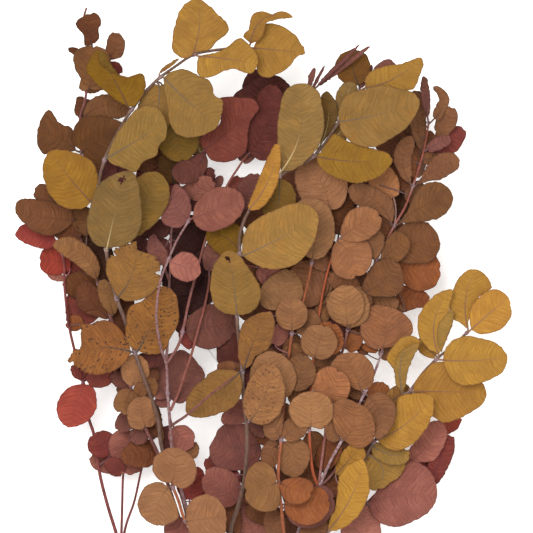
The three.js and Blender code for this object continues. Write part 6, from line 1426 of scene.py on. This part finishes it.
def bark_material(name, colours):
    body, dark, bloom = [linear(text) for text in colours]
    material, tree, surface, place = new_material(f"dry bark, {name}", 0.7, 0.2)
    # streaks 1 mm wide and several times as long, since the stems lie along Y
    stretched = add(tree, "ShaderNodeMapping", {"Vector": place, "Scale": (1, 0.15, 1)})
    streak = patches(tree, stretched, per(1.0), 3, (0.35, 0.68), (0.0, 0.9))
    orange = add(tree, "ShaderNodeAttribute", attribute_name="orange").outputs["Fac"]
    wax = add(tree, "ShaderNodeAttribute", attribute_name="bloom").outputs["Fac"]
    patchy = patches(tree, place, per(2.5), 3, (0.35, 0.65), (0.15, 1.0))
    wax = add(tree, "ShaderNodeMath", {0: wax, 1: patchy}, operation="MULTIPLY")
    tone = painted(tree, body, [(streak, dark), (orange, linear(ORANGE_BARK)), (wax, bloom)])
    tree.links.new(tone, surface.inputs["Base Color"])
    bump = add(tree, "ShaderNodeBump", {"Height": streak, "Strength": 0.4, "Distance": 0.2 * MM})
    tree.links.new(bump.outputs[0], surface.inputs["Normal"])
    return material


def wood_material():
    """Cut green wood, dried: pale fibres half a millimetre wide, and a darker pith."""
    material, tree, surface, place = new_material("dry cut wood", 0.8, 0.25)
    fibre = patches(tree, place, per(0.5), 2, (0.3, 0.7), (0.0, 1.0))
    pith = add(tree, "ShaderNodeAttribute", attribute_name="edge").outputs["Fac"]
    pith = add(tree, "ShaderNodeMapRange", {0: pith, 1: 0.3, 2: 0.55, 3: 0.8, 4: 0.0})
    tone = painted(tree, linear("D6BD94"), [(fibre, linear("A98A62")), (pith, linear("7A5A40"))])
    tree.links.new(tone, surface.inputs["Base Color"])
    return material


def rubber_material():
    """Natural latex band, cut from a tube: amber tan, faintly glossy, dusted with talc."""
    material, tree, surface, place = new_material("natural latex rubber", 0.45, 0.5, 1.52)
    dust = patches(tree, place, per(3), 4, (0.4, 0.7), (0.0, 0.7))
    tone = painted(tree, linear("C49A5E"), [(dust, linear("DCC29A"))])
    tree.links.new(tone, surface.inputs["Base Color"])
    return material


def floor_material():
    """Matt painted board: plain, pale and even, with grain too fine to see. It glows faintly,
    painted light that lifts the shadows on it.
    """
    material, tree, surface, place = new_material("matt painted board", 0.9, 0.2)
    # the board's own glow is painted light: it whitens the leaves' shadows on it and lights the
    # leaves from below
    surface.inputs["Emission Color"].default_value = linear("FFFFFF")
    surface.inputs["Emission Strength"].default_value = FLOOR_GLOW
    grain = add(tree, "ShaderNodeTexNoise", {"Vector": place, "Scale": per(2)})
    tone = painted(tree, linear("F4F3F1"), [(grain, linear("F1F0EE"))])
    tree.links.new(tone, surface.inputs["Base Color"])
    return material


# ---------------------------------------------------------------- the pieces

# umber and maroon, darker copies partly painted with shade, are recorded as brown and burgundy
RECORD_SLOT = {"mottled": "spotted", "rust": "brown", "umber": "brown", "maroon": "burgundy"}


def build_leaves(name, whorls, with_ring):
    """One piece from the leaves of these whorls, with a material for each of their finishes."""
    shape = Shape()
    finishes = []
    for whorl in whorls:
        for item in whorl["leaves"]:
            if item["finish"] not in finishes:
                finishes.append(item["finish"])
            slot = finishes.index(item["finish"])
            rib = blade(shape, item, slot)
            stalk_and_midrib(shape, item, whorl["seat"], rib, slot)
            for rim in curled_rims(item):
                if rim["finish"] not in finishes:
                    finishes.append(rim["finish"])
                blade(shape, rim, finishes.index(rim["finish"]))
        if with_ring:
            node_ring(shape, whorl["seat"], 0)
    piece = shape.build(name, [leaf_materials[finish] for finish in finishes])
    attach(piece, "root")
    RECORD_SLOT.get(finishes[0], finishes[0])
    return piece


def build_stem(item, seats):
    """The stem swells and has its bloom where leaves are seated."""
    lines, bloom, orange = [], [], []
    for index, (line, radii) in enumerate(item["lines"]):
        foot_tone, foot_wax, tip_tone, tip_wax = WAYS.get((item["name"], index), USUAL_WAY)
        least = np.linspace(foot_wax, tip_wax, len(line))
        near = np.min([np.linalg.norm(line - seat["point"], axis=1) for seat in seats], axis=0)
        lines.append((line, radii * (1 + SWELLING * np.exp(-((near / SWELLING_REACH) ** 2)))))
        bloom += list(least + (BLOOM + BLOOM_MORE * least) * np.exp(-((near / BLOOM_REACH) ** 2)))
        orange += list(np.linspace(foot_tone, tip_tone, len(line)))
    name = f"{item['name']}_stem"
    source = line_object(name + "_lines", lines, bloom=bloom, orange=orange)
    values = {
        "Sides": STEM_SIDES,
        "Wart size": WART * MM,
        "Warts per area": WARTS_PER_CM2 * 1e4,
        "Seed": len(item["name"]),
        "Bark": bark_materials[item["bark"]],
    }
    piece = run_tree(source, STEM_TREE, name + "_bark", values)
    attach(piece, "root")
    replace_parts(piece, name)


def build_cuts():
    """The cut ends: pale wood, a hair proud of the bark's own end."""
    shape = Shape()
    turn = np.arange(CUT_SIDES) * FULL_TURN / CUT_SIDES
    for item in BRANCHES:
        line, radii = item["lines"][0]
        ahead, aside, up = [axis[0] for axis in ring_frame(line[:3])]
        centre = line[0] - ahead * CUT_PROUD
        ring = np.outer(np.cos(turn), aside) + np.outer(np.sin(turn), up)
        rings = [centre + ring * radii[0] * share for share, _ in (PITH, WOOD)]
        sides = [(1 + k, 1 + (k + 1) % CUT_SIDES) for k in range(CUT_SIDES)]
        faces = [[0, a, b] for a, b in sides]
        faces += [[a, a + CUT_SIDES, b + CUT_SIDES, b] for a, b in sides]
        edge = np.concatenate([[0.0], *[np.full(CUT_SIDES, reads) for _, reads in (PITH, WOOD)]])
        shape.take(np.vstack([centre[None], *rings]), faces, edge=edge)
    piece = shape.build("cut_ends", [wood_material()])
    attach(piece, "root")


def band_path():
    """The band's turns round the bundle, side by side like a screw's thread."""
    corners = np.array(BUNDLE, float)
    outline = []
    for k, corner in enumerate(corners):
        before = corner - corners[k - 1]
        after = corners[(k + 1) % len(corners)] - corner
        start = math.atan2(-before[0], before[1])
        turn = (math.atan2(-after[0], after[1]) - start) % FULL_TURN
        for step in range(CORNER_STEPS + 1):
            angle = start + turn * step / CORNER_STEPS
            reach = BAND_GAP + BAND_THICK / 2
            outline.append(corner + reach * np.array([math.cos(angle), math.sin(angle)]))
    ring = spaced(np.array([*outline, outline[0]]), np.linspace(0, 1, TURN_STEPS + 1))[:-1]
    points = []
    for k in range(BAND_TURNS * TURN_STEPS + 1):
        share = k / TURN_STEPS
        x, z = ring[k % TURN_STEPS]
        y = BAND_Y + (share - BAND_TURNS / 2) * BAND_PITCH
        points.append([BAND_X + x, y, z])
    return np.array(points)


def build_band():
    path = band_path()
    source = line_object("band_line", [(path, np.ones(len(path)) / MM)])
    values = {
        "Width": BAND_WIDTH * MM,
        "Thickness": BAND_THICK * MM,
        "Corner": BAND_ROUNDING * MM,
        "Rubber": rubber_material(),
    }
    piece = run_tree(source, band_tree(), "rubber_band_turns", values)
    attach(piece, "root")
    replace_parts(piece, "rubber_band")


# ---------------------------------------------------------------- the bunch

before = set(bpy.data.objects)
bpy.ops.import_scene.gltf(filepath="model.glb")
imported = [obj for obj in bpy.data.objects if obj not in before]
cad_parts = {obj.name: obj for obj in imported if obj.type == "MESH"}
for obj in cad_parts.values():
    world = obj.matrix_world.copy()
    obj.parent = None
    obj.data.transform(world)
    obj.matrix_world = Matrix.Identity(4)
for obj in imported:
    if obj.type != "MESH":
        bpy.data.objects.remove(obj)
cad_low, cad_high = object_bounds()
ORIGIN = np.array([cad_low[0] / MM - LEFT_END, cad_high[1] / MM - TOP_END, 0.0])
leaf_materials = {name: leaf_material(name, colours) for name, colours in LEAVES.items()}
bark_materials = {name: bark_material(name, colours) for name, colours in BARKS.items()}
STEM_TREE = stem_tree()

for item in BRANCHES:
    item["lines"] = stem_lines(item)
    seats, grown = [], {}
    on_stem = cad_points(f"{item['name']}_stem")
    for group in item["pairs"]:
        group["seat"] = seat_near(item, group["at"])
        if group["name"]:
            seats.append(group["seat"])
        node = f"{item['name']}_{group['name']}_leaves"
        points = cad_points(node) if group["name"] else on_stem
        for one in group["leaves"]:
            measure(one)
            one["dice"] = np.random.default_rng([int(SEED_SHIFT + axis) for axis in one["base"]])
            one["seed"] = float(one["dice"].random())
            one["turns"] = one["dice"].random(WAVES) * FULL_TURN
            one["shade"] = SHADES.get(tuple(one["base"]), BRANCH_SHADES.get(item["name"], 1.0))
            one["holed"] = one["finish"] in HOLED
            one["spare"] = 0.0 if group["name"] or one["half"] < SLENDER else SPARE_RIM
            read_lie(one, points)
        if group["name"]:
            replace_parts(build_leaves(node + "_grown", [group], True), node)
        else:
            for one in group["leaves"]:
                slot = RECORD_SLOT.get(one["finish"], one["finish"])
                grown.setdefault(slot, []).append(dict(seat=group["seat"], leaves=[one]))
    for slot, whorls in grown.items():
        build_leaves(f"{item['name']}_small_{slot}_leaves", whorls, False)
    build_stem(item, seats)
build_cuts()
build_band()

# ---------------------------------------------------------------- floor, light, camera

# the floor's glow is painted light, not a lamp
FLOOR_HALF, FLOOR_LEVEL, FLOOR_GLOW = 3.0, -0.0004, 0.38  # in metres, and its own light
AMBIENT = 0.9
LIGHTS = {"softbox": ((-0.5, 0.6, 1.9), 36), "fill": ((0.9, -0.2, 1.9), 12)}  # metres, and watts
LIGHT_WIDTH, LIGHT_AIM = 1.2, (0, 0.1, 0)
PHOTO_WIDTH = 400  # of the bunch, across the photograph, at the leaves' mean height
LENS, SENSOR, LEAF_LEVEL = 400, 36, 45
FAR_CLIP = 20


def build_floor():
    mesh = bpy.data.meshes.new("floor")
    corners = [(-1, -1), (1, -1), (1, 1), (-1, 1)]
    corners = [(x * FLOOR_HALF, y * FLOOR_HALF, FLOOR_LEVEL) for x, y in corners]
    mesh.from_pydata(corners, [], [(0, 1, 2, 3)])
    mesh.materials.append(floor_material())
    placed("floor", mesh)


def build_lights():
    world = bpy.data.worlds.new("soft room")
    world.use_nodes = True
    room = world.node_tree.nodes["Background"]
    room.inputs["Color"].default_value = (1, 1, 1, 1)
    room.inputs["Strength"].default_value = AMBIENT
    bpy.context.scene.world = world
    bpy.context.scene.view_settings.view_transform = "Standard"
    for name, (place, power) in LIGHTS.items():
        light = bpy.data.lights.new(name, "AREA")
        light.shape = "DISK"
        light.size = LIGHT_WIDTH
        light.energy = power
        lamp = placed(name, light)
        lamp.location = place
        beam = Vector(LIGHT_AIM) - Vector(place)
        lamp.rotation_euler = beam.to_track_quat("-Z", "Y").to_euler()


def build_camera():
    """Straight down over the middle of what the photograph shows, with the tips at the top."""
    camera = bpy.data.cameras.new("camera")
    camera.lens = LENS
    camera.sensor_width = SENSOR
    camera.clip_end = FAR_CLIP
    eye = placed("camera", camera)
    far = PHOTO_WIDTH * LENS / SENSOR
    eye.location = ((ORIGIN + [0, PHOTO_WIDTH / 2, far + LEAF_LEVEL]) * MM).tolist()
    bpy.context.scene.camera = eye


build_floor()
build_lights()
build_camera()
